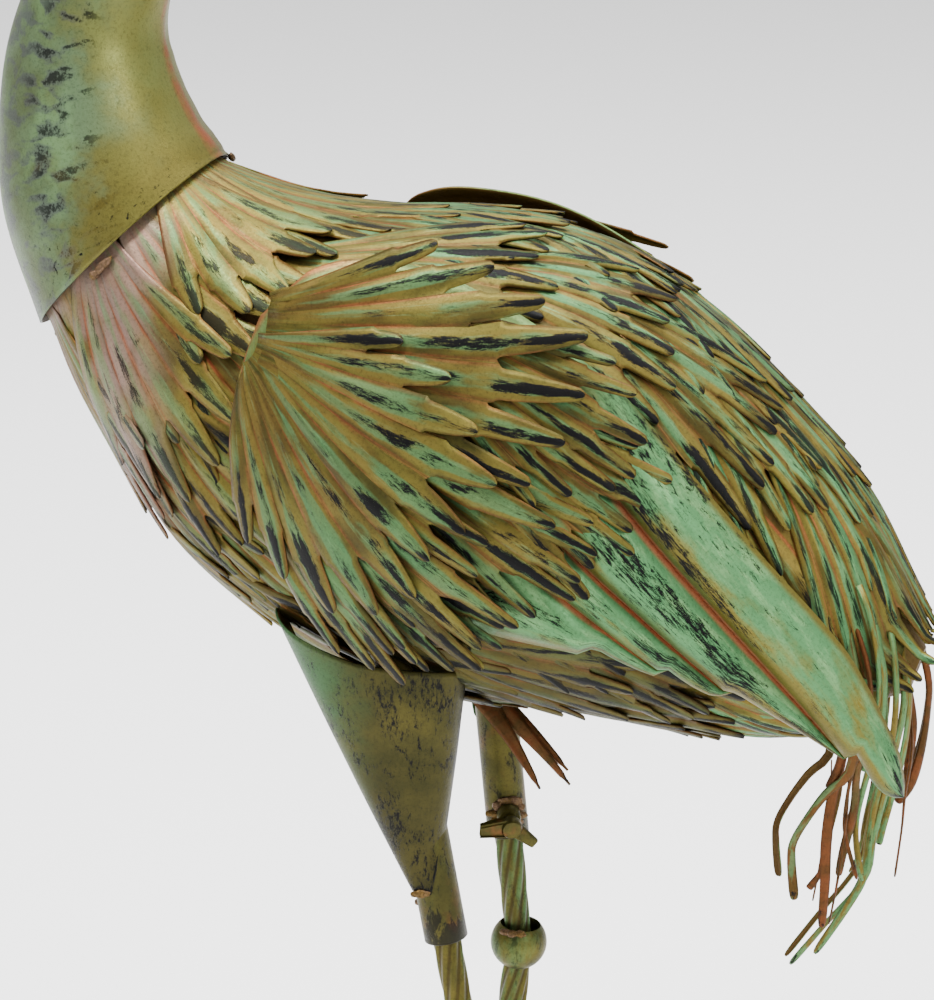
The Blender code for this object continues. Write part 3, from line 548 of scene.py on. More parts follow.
def lathe(shape, outline, place, steps, form=None):
    """Spin an outline of (radius, height) into a closed or open wall.

    place turns a point of the lathe's own space into its spot on the bird.
    """
    layers = layers_of(shape)
    before = set(shape.verts)
    verts = [shape.verts.new((radius, 0, height)) for radius, height in outline]
    edges = [shape.edges.new(pair) for pair in zip(verts, verts[1:])]
    bmesh.ops.spin(
        shape, geom=verts + edges, axis=(0, 0, 1), cent=(0, 0, 0), angle=2 * math.pi,
        steps=steps, use_merge=True,
    )
    made = [vert for vert in shape.verts if vert not in before]
    bmesh.ops.remove_doubles(shape, verts=made, dist=1e-6)
    made = [vert for vert in shape.verts if vert not in before]
    highest = max(height for _, height in outline)
    lowest = min(height for _, height in outline)
    for vert in made:
        x, y, z = vert.co
        around = math.atan2(y, x) / (2 * math.pi)
        along = (z - lowest) / (highest - lowest)
        reach = math.hypot(x, y)
        vert.co = place(vert.co)
        mark(
            vert, layers, form or (0.5, along, 0.5, 1.0),
            (around * 100 * 2 * math.pi * reach, z * 100, 0.0),
        )


# Paint

BUMP_DEPTH = 0.0006  # in metres


class Coats:
    """One material, built coat by coat from the ground colour up."""

    def __init__(self, name, metallic=0.6):
        self.material = bpy.data.materials.new(name)
        self.material.use_nodes = True
        self.tree = self.material.node_tree
        self.shader = self.tree.nodes["Principled BSDF"]
        self.shader.inputs["Metallic"].default_value = metallic
        self.shader.inputs["Specular IOR Level"].default_value = 0.10

    def node(self, kind, inputs=(), **settings):
        made = self.tree.nodes.new(kind)
        for key, value in settings.items():
            setattr(made, key, value)
        for key, value in dict(inputs).items():
            if isinstance(value, bpy.types.NodeSocket):
                self.tree.links.new(value, made.inputs[key])
            else:
                made.inputs[key].default_value = value
        return made

    def object_place(self):
        return self.node("ShaderNodeTexCoord").outputs["Object"]

    def run(self):
        return self.node("ShaderNodeAttribute", attribute_name="run").outputs["Vector"]

    def form(self):
        read = self.node("ShaderNodeAttribute", attribute_name="form")
        split = self.node("ShaderNodeSeparateColor", {"Color": read.outputs["Color"]})
        names = ("Red", "Green", "Blue")
        return (*[split.outputs[name] for name in names], read.outputs["Alpha"])

    def stretch(self, place, scale):
        made = self.node("ShaderNodeMapping", {"Vector": place, "Scale": scale})
        return made.outputs["Vector"]

    def noise(self, place, scale, detail, rough=0.6, warp=0.0):
        inputs = {
            "Vector": place, "Scale": scale, "Detail": detail, "Roughness": rough,
            "Distortion": warp,
        }
        return self.node("ShaderNodeTexNoise", inputs).outputs["Fac"]

    def streaks(self, run, across, along, detail, rough=0.6, warp=0.0, scale=1.0):
        """Noise drawn out along a piece; across and along are cells per centimetre."""
        return self.noise(self.stretch(run, (across, along, 1)), scale, detail, rough, warp)

    def between(self, value, low, high, start=0.0, end=1.0):
        """Ease from start to end as a value goes from low to high."""
        inputs = {"Value": value, "From Min": low, "From Max": high, "To Min": start, "To Max": end}
        made = self.node("ShaderNodeMapRange", inputs, interpolation_type="SMOOTHSTEP")
        return made.outputs["Result"]

    def sum(self, first, second, kind="ADD"):
        made = self.node("ShaderNodeMath", {0: first, 1: second}, operation=kind)
        return made.outputs["Value"]

    def times(self, first, *others):
        for other in others:
            first = self.sum(first, other, "MULTIPLY")
        return first

    def coat(self, below, colour, share):
        """Lay a colour over what is below it, as thickly as share says."""
        made = self.node("ShaderNodeMix", {"Factor": share}, data_type="RGBA")
        for index, value in ((6, below), (7, colour)):
            if isinstance(value, bpy.types.NodeSocket):
                self.tree.links.new(value, made.inputs[index])
            else:
                made.inputs[index].default_value = (*value, 1.0)
        return made.outputs[2]

    def finish(self, colour, fine, smooth, dull, height, bump=0.35):
        """Add the dark grain, the gloss from smooth to dull and the bumps."""
        link = self.tree.links.new
        grain = self.noise(self.object_place(), 640, 6, 0.75)
        colour = self.coat(colour, colours().black, self.between(grain, 0.46, 0.72, 0.0, 0.42))
        rough = self.between(fine, 0.2, 0.8, smooth, dull)
        link(colour, self.shader.inputs["Base Color"])
        link(rough, self.shader.inputs["Roughness"])
        inputs = {"Height": height, "Strength": bump, "Distance": BUMP_DEPTH}
        made = self.node("ShaderNodeBump", inputs)
        link(made.outputs["Normal"], self.shader.inputs["Normal"])
        return self.material


def feather_paint(name, coral, mint, lilac, black, black_and_shade=0.0):
    """Gold plates with mint on the pleats, coral in the grooves and black streaks, painted shade in the
    grooves between the pleats, and a darker coat over all that is partly painted shade.
    """
    tint = colours()
    paint = Coats(name)
    place, run = paint.object_place(), paint.run()
    stands, along, _, _ = paint.form()
    broad = paint.noise(place, 18, 3)
    fine = paint.noise(place, 900, 3, 0.7)
    ridge = paint.between(stands, 0.30, 0.95)
    groove = paint.between(stands, 0.45, 0.05)
    valley = paint.between(stands, 0.30, 0.03)

    patches = paint.streaks(run, 0.7, 0.22, 3, 0.5)
    colour = paint.coat(tint.olive, tint.gold, paint.between(patches, 0.34, 0.60))
    if lilac:
        ahead = paint.node("ShaderNodeSeparateXYZ", {"Vector": place}).outputs["X"]
        share = paint.times(
            paint.between(broad, 0.38, 0.58),
            paint.between(ahead, drawn(-118, 0).x, drawn(-158, 0).x), lilac,
        )
        colour = paint.coat(colour, tint.lilac, share)

    minty = paint.streaks(run, 0.9, 0.19, 4, 0.55, 0.2)
    minty = paint.sum(minty, paint.between(ridge, 0.0, 1.0, -0.10, 0.055))
    share = paint.times(paint.between(minty, 0.46, 0.60), mint)
    colour = paint.coat(colour, tint.mint, share)
    wisps = paint.streaks(run, 5.0, 0.45, 6, 0.65, 0.3)
    share = paint.times(paint.between(wisps, 0.54, 0.68), ridge, 0.45 * mint)
    colour = paint.coat(colour, tint.pale, share)

    ruddy = paint.streaks(run, 0.8, 0.20, 5, 0.6, scale=1.2)
    near_root = paint.between(along, 0.75, 0.10, 0.35, 1.0)
    share = paint.times(
        paint.between(ruddy, 0.40, 0.54), paint.sum(valley, 0.17), near_root, coral
    )
    colour = paint.coat(colour, tint.coral, share)
    # Painted shade: dark brown in the grooves between the pleats, broken up by streaks.
    groove_shade_streaks = paint.streaks(run, 1.2, 0.5, 5, 0.7)
    dark = paint.times(groove, paint.between(groove_shade_streaks, 0.38, 0.62), 0.55)
    colour = paint.coat(colour, tint.under, dark)

    streak = paint.streaks(run, 10.5, 1.35, 14, 0.86, 0.6)
    zone = paint.streaks(run, 1.0, 0.30, 2)
    wet = paint.sum(
        paint.between(zone, 0.34, 0.66, -0.10, 0.10),
        paint.between(along, 0.35, 0.95, -0.075, 0.055),
    )
    wet = paint.sum(wet, paint.between(stands, 0.40, 0.95, -0.14, 0.060))
    wet = paint.sum(wet, paint.between(along, 0.94, 1.0, 0.0, 0.10))
    share = paint.times(paint.between(paint.sum(streak, wet), 0.540, 0.575), black)
    # A darker coat over the whole plate, partly painted shade on the back, belly and wing plates, then
    # the black streaks.
    colour = paint.coat(paint.coat(colour, tint.black, black_and_shade), tint.black, share)

    height = paint.sum(paint.times(fine, 0.5), paint.times(share, 0.5))
    return paint.finish(colour, fine, 0.38, 0.60, height)


def sheet_paint(name):
    """Wing sheet: gold with mint ridges, coral in the grooves, black on what rubs."""
    tint = colours()
    paint = Coats(name)
    place, run = paint.object_place(), paint.run()
    stands, along, edge, across = paint.form()
    fine = paint.noise(place, 900, 3, 0.7)
    ridge = paint.between(stands, 0.25, 0.85)
    inner = paint.between(edge, 0.9, 0.3)
    soft = paint.streaks(run, 0.35, 0.10, 4)
    colour = paint.coat(tint.olive, tint.gold, paint.between(soft, 0.26, 0.48))
    minty = paint.streaks(run, 0.5, 0.11, 5, 0.6, scale=1.2)
    open_side = paint.between(stands, 0.10, 0.40)
    minty = paint.sum(minty, paint.between(across, 0.28, 0.66, -0.12, 0.10))
    minty = paint.sum(minty, paint.between(along, 0.40, 0.75, 0.0, 0.07))
    behind = paint.between(along, 0.22, 0.62, 0.45, 1.0)
    share = paint.times(paint.between(minty, 0.42, 0.56), behind, open_side)
    colour = paint.coat(colour, tint.mint, share)
    wisps = paint.streaks(run, 2.4, 0.4, 6, 0.65)
    share = paint.times(paint.between(wisps, 0.46, 0.66), paint.between(across, 0.25, 0.70), 0.6)
    share = paint.times(share, paint.between(along, 0.25, 0.6, 0.3, 1.0), open_side)
    colour = paint.coat(colour, tint.pale, share)
    shade = paint.times(paint.between(across, 0.34, 0.06), inner, 0.7)
    flank = paint.coat(tint.olive, tint.gold, paint.between(soft, 0.30, 0.60, 0.25, 0.75))
    colour = paint.coat(colour, flank, shade)
    ruddy = paint.streaks(run, 0.3, 0.3, 5, 0.7, scale=2.0)
    share = paint.times(
        paint.between(stands, 0.38, 0.14), inner, paint.between(ruddy, 0.28, 0.44), 0.85
    )
    rosy = paint.coat(tint.coral, tint.rose, paint.between(soft, 0.35, 0.6, 0.55, 1.0))
    colour = paint.coat(colour, rosy, share)
    front = paint.times(paint.between(along, 0.20, 0.02), paint.between(edge, 0.55, 1.0))
    colour = paint.coat(colour, tint.coral, paint.times(front, 0.7))
    hatch = paint.streaks(run, 9.0, 1.2, 12, 0.85, 0.4)
    zone = paint.streaks(run, 0.35, 0.10, 3, scale=1.3)
    wet = paint.sum(
        paint.between(zone, 0.34, 0.64, -0.095, 0.052), paint.between(ridge, 0.0, 1.0, -0.12, 0.030)
    )
    wet = paint.sum(wet, paint.between(across, 0.80, 0.97, 0.0, -0.07))
    wet = paint.sum(wet, paint.between(along, 0.22, 0.45, -0.10, 0.0))
    wet = paint.sum(wet, paint.between(along, 0.95, 1.0, 0.0, 0.10))
    share = paint.times(paint.between(paint.sum(hatch, wet), 0.545, 0.575), open_side)
    colour = paint.coat(colour, tint.black, share)
    rim = paint.sum(hatch, paint.between(zone, 0.36, 0.62, -0.09, 0.05))
    rim = paint.times(paint.between(rim, 0.55, 0.58), paint.between(edge, 0.45, 0.75))
    colour = paint.coat(colour, tint.black, paint.times(rim, paint.between(across, 0.4, 0.8)))
    height = paint.sum(paint.times(fine, 0.4), paint.times(share, 0.4))
    return paint.finish(colour, fine, 0.34, 0.54, height)


def inside_paint(name):
    """Dark brown inner side of the sheets, with a faint green bloom."""
    tint = colours()
    paint = Coats(name, 0.4)
    place = paint.object_place()
    broad = paint.noise(place, 22, 4)
    fine = paint.noise(place, 700, 4, 0.7)
    brown = paint.coat(tint.under, tint.coral, 0.10)
    colour = paint.coat(brown, tint.gold, paint.between(broad, 0.35, 0.75, 0.08, 0.30))
    colour = paint.coat(colour, tint.black, paint.between(fine, 0.58, 0.70, 0.0, 0.35))
    return paint.finish(colour, fine, 0.45, 0.62, fine)


def tube_paint(name, green, coral, black, black_and_shade=0.0, grooves=0.75):
    """Dull olive gold of the legs, with scuffs, painted shade in the flutes and under the toes, and a
    darker coat over all that is partly painted shade.
    """
    tint = colours()
    paint = Coats(name)
    place = paint.object_place()
    stands, along, _, _ = paint.form()
    broad = paint.noise(place, 45, 4)
    fine = paint.noise(place, 900, 3, 0.7)
    tall = paint.noise(paint.stretch(place, (70, 70, 22)), 1.0, 6, 0.65)
    colour = paint.coat(tint.olive, tint.gold, paint.between(broad, 0.35, 0.68, 0.05, 0.65))
    raised = paint.between(stands, 0.1, 0.9, 0.4, 1.3)
    share = paint.times(paint.between(tall, 0.46, 0.66), green, raised)
    colour = paint.coat(colour, tint.mint, share)
    ruddy = paint.noise(place, 60, 3)
    colour = paint.coat(colour, tint.coral, paint.times(paint.between(ruddy, 0.52, 0.72), coral))
    # Painted shade: the dark brown coat where the form is low, in the rods' flutes and under the toes.
    colour = paint.coat(colour, tint.under, paint.times(paint.between(stands, 0.5, 0.0), grooves))
    scuff = paint.noise(paint.stretch(place, (160, 160, 60)), 1.0, 8, 0.8, 0.5)
    wet = paint.between(along, 0.14, 0.0, 0.0, 0.17)
    wet = paint.sum(wet, paint.between(tall, 0.35, 0.65, -0.06, 0.05))
    share = paint.times(paint.between(paint.sum(scuff, wet), 0.56, 0.61), black)
    # A darker coat over the whole piece, partly painted shade, then the black scuffs.
    colour = paint.coat(paint.coat(colour, tint.black, black_and_shade), tint.black, share)
    height = paint.sum(paint.times(fine, 0.5), paint.times(share, 0.4))
    return paint.finish(colour, fine, 0.36, 0.56, height)


def thigh_paint(name):
    """Mint in front, olive gold behind, under a heavy dry-brushed black."""
    tint = colours()
    paint = Coats(name)
    place, run = paint.object_place(), paint.run()
    _, along, edge, around = paint.form()
    fine = paint.noise(place, 900, 3, 0.7)
    broad = paint.noise(place, 24, 4)
    colour = paint.coat(tint.olive, tint.gold, paint.between(broad, 0.36, 0.66, 0.0, 0.55))
    front = paint.sum(around, paint.times(broad, 0.5))
    front = paint.sum(front, paint.between(along, 0, 1, 0.15, -0.12))
    colour = paint.coat(colour, tint.mint, paint.between(front, 0.70, 0.28, 0.0, 0.78))
    scuff = paint.noise(paint.stretch(place, (560, 560, 210)), 1.0, 10, 0.85, 0.3)
    zone = paint.streaks(run, 0.40, 0.24, 4, 0.6)
    wet = paint.sum(
        paint.between(zone, 0.34, 0.66, -0.10, 0.05), paint.between(edge, 0.2, 1.0, 0.0, 0.06)
    )
    wet = paint.sum(wet, paint.between(along, 0.45, 0.0, 0.0, 0.07))
    share = paint.between(paint.sum(scuff, wet), 0.525, 0.565)
    colour = paint.coat(colour, tint.black, paint.between(along, 0.0, 0.8, 0.62, 0.40))
    colour = paint.coat(colour, tint.black, share)
    height = paint.sum(paint.times(fine, 0.5), paint.times(share, 0.4))
    return paint.finish(colour, fine, 0.36, 0.56, height)


def neck_paint(name):
    """Mint grey in front, gold behind, with black smudges in broken rows."""
    tint = colours()
    paint = Coats(name)
    place, run = paint.object_place(), paint.run()
    back, along, seam, _ = paint.form()
    fine = paint.noise(place, 900, 3, 0.7)
    broad = paint.noise(place, 26, 4)
    soft = paint.sum(back, paint.between(broad, 0.3, 0.7, -0.20, 0.20))
    gold = paint.coat(tint.gold, tint.pale, paint.between(broad, 0.25, 0.75, 0.04, 0.24))
    grey_mint = paint.coat(tint.mint, tint.lilac, 0.30)
    grey_mint = paint.coat(grey_mint, tint.olive, paint.between(broad, 0.30, 0.66, 0.10, 0.65))
    colour = paint.coat(gold, grey_mint, paint.between(soft, 0.92, 0.40))
    wisps = paint.noise(paint.stretch(place, (34, 34, 16)), 1.0, 4, 0.55, 0.4)
    share = paint.times(paint.between(wisps, 0.48, 0.70), paint.between(soft, 0.95, 0.40), 0.35)
    colour = paint.coat(colour, tint.pale, share)
    smudge = paint.streaks(run, 0.8, 0.95, 2, 0.5, 0.4)
    speck = paint.streaks(run, 7.0, 3.4, 8, 0.8)
    front = paint.between(back, 0.70, 0.42)
    soft_mark = paint.sum(smudge, paint.times(speck, 0.2))
    share = paint.times(paint.between(soft_mark, 0.57, 0.70), front, 0.6)
    colour = paint.coat(colour, tint.dusk, share)
    band = paint.times(paint.between(back, 0.78, 0.62), paint.between(back, 0.22, 0.40))
    sharp_mark = paint.sum(smudge, paint.times(speck, 0.8))
    share = paint.times(paint.between(sharp_mark, 0.985, 1.05), band, 0.8)
    colour = paint.coat(colour, tint.black, share)
    low = paint.times(paint.between(along, 0.36, 0.08), paint.between(soft, 0.35, 0.7), 0.75)
    colour = paint.coat(colour, paint.coat(tint.gold, tint.under, 0.35), low)
    ruddy = paint.noise(place, 70, 3)
    share = paint.times(paint.between(seam, 0.35, 0.95), paint.between(ruddy, 0.30, 0.60), 0.85)
    colour = paint.coat(colour, tint.coral, share)
    scuff = paint.streaks(run, 3.0, 1.6, 8, 0.8, 0.4)
    low = paint.between(along, 0.22, 0.0, -0.02, 0.075)
    share = paint.between(paint.sum(scuff, low), 0.64, 0.68)
    colour = paint.coat(colour, tint.black, share)
    height = paint.sum(paint.times(fine, 0.4), paint.times(broad, 0.5))
    return paint.finish(colour, fine, 0.30, 0.50, height)


def weld_paint(name):
    """Coral and grey over the lumps of a weld."""
    tint = colours()
    paint = Coats(name)
    place = paint.object_place()
    broad = paint.noise(place, 140, 4)
    fine = paint.noise(place, 900, 4, 0.7)
    colour = paint.coat(tint.coral, tint.lilac, paint.between(broad, 0.36, 0.56, 0.15, 0.7))
    colour = paint.coat(colour, tint.gold, paint.between(broad, 0.60, 0.38, 0.25, 0.65))
    colour = paint.coat(colour, tint.under, paint.between(fine, 0.35, 0.66, 0.30, 0.80))
    return paint.finish(colour, fine, 0.35, 0.6, fine, 0.6)


def strip_paint(name):
    """Coral brown strips with mint and gold lengths."""
    tint = colours()
    paint = Coats(name)
    run, place = paint.run(), paint.object_place()
    _, along, tone, _ = paint.form()
    fine = paint.noise(place, 900, 3, 0.7)
    bands = paint.streaks(run, 0.2, 0.5, 3)
    brown = paint.coat(tint.under, tint.coral, paint.between(bands, 0.36, 0.64, 0.08, 0.34))
    colour = paint.coat(brown, tint.gold, paint.between(tone, 0.35, 0.75, 0.0, 0.75))
    minty = paint.streaks(run, 2.0, 0.30, 3, scale=1.4)
    share = paint.times(paint.between(minty, 0.44, 0.56), paint.between(tone, 0.20, 0.6), 0.8)
    colour = paint.coat(colour, tint.mint, share)
    streak = paint.streaks(run, 5.0, 1.0, 8, 0.8)
    wet = paint.between(along, 0.8, 1.0, 0.0, 0.10)
    share = paint.between(paint.sum(streak, wet), 0.60, 0.65)
    colour = paint.coat(colour, tint.black, share)
    return paint.finish(colour, fine, 0.36, 0.56, fine)


# Each row: the function, the material's name and its coats. Feathers have coral, mint, lilac, black
# streaks and black over all, which is partly painted shade; tubes have mint, coral, black scuffs, black
# over all, which is partly painted shade, and painted shade in their grooves.
PAINTS = {
    "collar": (feather_paint, "collar feathers", 0.95, 0.5, 0.8, 0.9),
    "breast": (feather_paint, "breast feathers", 1.1, 0.35, 0.55, 1.0, 0.08),
    "back": (feather_paint, "back feathers", 0.75, 0.95, 0.0, 1.1, 0.18),
    "belly": (feather_paint, "belly feathers", 0.9, 0.25, 0.0, 1.0, 0.50),
    "flank": (feather_paint, "flank feathers", 0.35, 0.35, 0.0, 0.45),
    "tail": (feather_paint, "tail feathers", 1.0, 1.0, 0.0, 0.95),
    "wing plates": (feather_paint, "wing feathers", 0.85, 0.75, 0.0, 1.1, 0.20),
    "wing sheet": (sheet_paint, "wing sheet"),
    "inside": (inside_paint, "inner coat"),
    "legs": (tube_paint, "leg coat", 0.08, 0.25, 0.8, 0.34),
    "balls": (tube_paint, "ball coat", 0.40, 0.35, 0.5),
    "rods": (tube_paint, "rod coat", 0.42, 0.05, 0.5, 0.2, 0.7),
    "thighs": (thigh_paint, "thigh coat"),
    "screws": (tube_paint, "screw coat", 0.10, 0.75, 0.5, 0.35),
    "neck": (neck_paint, "neck coat"),
    "weld": (weld_paint, "weld coat"),
    "strips": (strip_paint, "strip coat"),
}
made_paints = {}


def paint_named(name):
    if name not in made_paints:
        maker, *values = PAINTS[name]
        made_paints[name] = maker(*values)
    return made_paints[name]


# Feather plates

FINGER_COLUMNS = 6
SHEET_ROWS = 11  # rows of a plate inside its slots
FINGER_ROWS = (0.03, 0.08, 0.16, 0.27, 0.39, 0.52, 0.65, 0.77, 0.87, 0.94, 0.98, 1.0)
ROOT_HALF = 9.0  # half the blunt root, in millimetres
FLAT_PLEAT, FLAT_OPENS = 0.2, 0.96  # a plate flatter than this stays closed nearly to its end
JOIN_HALF = 0.15  # half the narrow strip that joins two fingers, in millimetres


def finger_width(half, slot_half, past_slot, to_end):
    """Half a finger's width in millimetres, from how far a place lies past its slot's
    round end and how far it is from its tip."""
    if past_slot <= 0:
        return half - JOIN_HALF
    opened = 1 - min(1.0, past_slot / 3.2)
    part = past_slot / (past_slot + to_end)
    width = half - JOIN_HALF - (slot_half - JOIN_HALF) * math.sqrt(1 - opened * opened)
    width += (min(0.5 * width, 2.5) - width) * part**1.15
    if to_end < 3:
        width *= max(0.3, math.sqrt(1 - (1 - to_end / 3) ** 2))
    return max(0.5, width)


def add_fan(
    shape, place, heading, length, spread, fingers, shorten, rng, skew=0.0, pleats=1.0,
    root_half=ROOT_HALF,
):
    """Press one plate: pleats that run out from its root into separate fingers.

    place(ahead, aside, lift) puts a point of the flat plate on what carries it;
    ahead and aside are millimetres and lift is metres.
    """
    size = sizes()
    start, turn = math.radians(heading), math.radians(spread)
    apex = root_half / math.tan(turn)
    pitch = FINGER_COLUMNS + 1
    columns = fingers * pitch - 1
    slot_half = size.slot / 2 / UNIT
    plate_tone, plate_shift = rng.random(), rng.uniform(0, 400)
    finger = []
    for number in range(fingers):
        share = (2 * number + 1) / fingers - 1
        reach = length * (1 - shorten * (share + skew) ** 2) * (1 + rng.uniform(-0.095, 0.06))
        finger.append((
            share, reach, rng.uniform(-1.2, 1.2), rng.uniform(0.1, 1.3), rng.random(),
            rng.uniform(0.45, 1.3), rng.uniform(-0.22, 0.22),
        ))
    opens = rng.uniform(0.72, 0.80) if pleats > FLAT_PLEAT else FLAT_OPENS
    shares = [opens * row / SHEET_ROWS for row in range(SHEET_ROWS + 1)]
    shares += [opens + (1 - opens) * part for part in FINGER_ROWS]
    slots = [SHEET_ROWS + rng.choice((0, 0, 1, 2, 3)) for _ in range(fingers + 1)]

    def point(column, row):
        number, part = divmod(column, pitch)
        across = 2 * part / FINGER_COLUMNS - 1
        share, reach, bend, curl, tone, pleat, lean = finger[number]
        along = shares[row]
        radius = along * reach
        half = (apex + radius) * turn / fingers
        slot_from = shares[slots[number] if across < 0 else slots[number + 1]]
        width = finger_width(half, slot_half, (along - slot_from) * reach, reach - radius)
        mid = math.radians(heading + spread * share + bend * along * along)
        ahead = (apex + radius) * math.cos(mid) - across * width * math.sin(mid)
        aside = (apex + radius) * math.sin(mid) + across * width * math.cos(mid)
        ahead -= apex * math.cos(start)
        aside -= apex * math.sin(start)
        crown = across + lean * (1 - across * across)
        stands = 1 - abs(crown) ** 1.35 if abs(across) < 1 else 0.0
        rise = size.pleat * pleats * pleat * ease((along - 0.06) / 0.42) * (1 - 0.35 * along) * stands
        rise += size.tip_curl * curl * along**5
        spot = place(ahead, aside, rise)
        run = ((number + 0.5 + 0.5 * across) * 1.3, radius / 10, plate_shift + 3 * number)
        shown = min(1.0, 1.4 * pleats) * (0.2 + 0.8 * ease(along / 0.45))
        stands = 0.5 + (stands - 0.5) * shown
        return spot, (stands, along, tone, plate_tone), run

    rows = sheet_of(shape, columns, len(shares) - 1, point)
    faces = grid_faces(rows)
    cut = []
    for (column, row), face in faces.items():
        number, part = divmod(column, pitch)
        if part == FINGER_COLUMNS and row >= slots[number + 1]:
            cut.append(face)
    kept = [face for face in faces.values() if face not in set(cut)]
    middle = length / 2
    ahead, aside = middle * math.cos(start), middle * math.sin(start)
    face_towards(kept, place(ahead, aside, 0.01) - place(ahead, aside, 0.0))
    bmesh.ops.delete(shape, geom=cut, context="FACES")


def skirt(along):
    """How far the plates behind the rump stand off, in millimetres."""
    past = max(0.0, along - SKIRT_FROM)
    return 0.02 * past + 0.0003 * past * past


def body_fan_place(root, angle, side, first):
    """Where a body plate's points go; first is how high it sits past its root."""

    def place(ahead, aside, lift):
        along = root + ahead
        depth, below, half = curve_at(BODY_STATIONS, min(BODY_LENGTH, max(0, along)))
        if angle > 90:
            depth = below
        round_of = 0.5 * (half + depth) + skirt(along)
        degrees = math.degrees(aside / max(round_of, 34))
        away = max(0.0, math.hypot(ahead, aside) - ROOT_HALF)
        height = 0.0015 + PLATE_RISE * (1 - math.exp(-away / 70))
        height += first * UNIT * (1 - math.exp(-away / 25))
        return on_body(along, side * (angle + degrees), height + lift + skirt(along) * UNIT)

    return place


def wing_fan_place(behind, above, side, first):
    """Where a wing plate's points go; its root droops over the sheet's rim."""

    def place(ahead, aside, lift):
        away = max(0.0, math.hypot(ahead, aside) - ROOT_HALF)
        height = 0.0020 + first * UNIT * (1 - math.exp(-away / 18))
        height += WING_RISE * away * UNIT
        place_on, up = behind + ahead, above + aside
        level = max(WING_TOP[0][0], place_on)
        rim = min(
            up - curve_at(WING_FOOT, level)[0], curve_at(WING_TOP, level)[0] - up,
            (place_on - WING_TOP[0][0]) * 1.5,
        )
        droop = 0.0055 * (1 - ease(rim / 13)) + 0.0009 * max(0.0, -rim)
        droop *= 1 - ease((away - 12) / 25)
        return on_wing(side, place_on, up, height + lift - droop)

    return place


def plate_nodes(names):
    """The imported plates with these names: left and right ones, then single ones."""
    spelled = [side + name for name in names for side in ("left_", "right_")] + list(names)
    return [name + "_plate" for name in spelled if name + "_plate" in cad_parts]


class HERON_OT_body_plates(bpy.types.Operator):
    """Press the plates that cover the body, ring after ring from the collar"""

    bl_idname = "heron.body_plates"
    bl_label = "Body plates"

    def execute(self, context):
        rng = random.Random(7)
        for group, rows in BODY_FANS.items():
            shape = new_shape()
            for root, angle, heading, length, spread, fingers, shorten, first in rows:
                for side in (1, -1) if 0 < angle < 180 else (1,):
                    shift = 0 if side == 1 else rng.uniform(-4, 4)
                    place = body_fan_place(root + shift, angle, side, first)
                    add_fan(
                        shape, place, heading, length, spread, fingers, shorten, rng,
                        pleats=PLEATS.get(group, 1.0),
                    )
            paint = group.removesuffix("_plates")
            slot = "breast_plates" if paint in ("collar", "breast", "belly") else "back_plates"
            hang_sheet(group, shape, paint, slot, plate_nodes(STANDS_FOR[group]))
        return {"FINISHED"}


class HERON_OT_wing_plates(bpy.types.Operator):
    """Press the plates that overlap on the shoulders of both wings"""

    bl_idname = "heron.wing_plates"
    bl_label = "Wing plates"

    def execute(self, context):
        rng = random.Random(21)
        for side, word in ((1, "left"), (-1, "right")):
            shape = new_shape()
            for row in WING_FANS:
                behind, above, heading, length, spread, fingers, shorten, first, skew = row
                if side == -1 and heading > 0:
                    heading, length = heading - FAR_TURN, length - FAR_SHORTER
                elif side == -1 and above > HIGH_ROOT:
                    length -= FAR_HIGH_SHORTER
                place = wing_fan_place(behind, above, side, first)
                root_half = WIDE_ROOT_HALF if spread > WIDE_SPREAD else ROOT_HALF
                add_fan(
                    shape, place, heading, length, spread, fingers, shorten, rng, skew,
                    WING_PLEATS, root_half,
                )
            nodes = [f"{word}_{node}" for node in WING_PLATE_NODES]
            hang_sheet(word + "_wing_plates", shape, "wing plates", "wing_plates", nodes)
        return {"FINISHED"}


class HERON_OT_loose_plate(bpy.types.Operator):
    """Bend the small three-fingered plate that hangs below the belly"""

    bl_idname = "heron.loose_plate"
    bl_label = "Loose plate"

    def execute(self, context):
        shape = new_shape()
        root = on_body(246, 180, 0.0010)
        face = Vector((0.30, -0.92, 0.25)).normalized()
        for number, (x, z, y) in enumerate(LOOSE_TIPS):
            end = drawn(x, z, y * UNIT)
            path, widths, fronts = [], [], []
            for step in range(25):
                share = step / 24
                bow = Vector((0, 0, 0.0035 * math.sin(math.pi * share)))
                path.append(root.lerp(end, share) + bow - face * 0.0012 * number)
                widths.append((0.0135 - 0.0112 * share) * (1 if step < 23 else 0.6))
                fronts.append(face)
            ribbon(shape, path, widths, fronts, 0.26, 40 + 9 * number, 0.0009)
        hang_sheet("loose_plate", shape, "strips", "breast_plates", ["loose_belly_plate"], 0.8)
        return {"FINISHED"}


# Wings


def foot_line(behind):
    """The wing's lower edge, stepped where each long feather ends."""
    foot = curve_at(WING_FOOT, behind)[0]
    for start, end in zip(WING_TIPS, WING_TIPS[1:]):
        if start < behind <= end:
            share = (behind - start) / (end - start)
            foot += 8 * (1 - share) ** 1.8 * ease(share * 8)
    return foot


def wing_bands(behind):
    """Heights of the wing's edges and of the grooves between its long feathers."""
    foot = foot_line(behind)
    top = max(foot + 1, curve_at(WING_TOP, behind)[0])
    edges = [foot]
    count = len(WING_GROOVES) + 1
    real = ease((behind - 120) / 50)
    for number, (height, slope) in enumerate(WING_GROOVES, start=1):
        even = foot + (top - foot) * number / count
        groove = min(top, max(foot, height + slope * (behind - 200)))
        edges.append(even + (groove - even) * real)
    edges.append(top)
    return edges


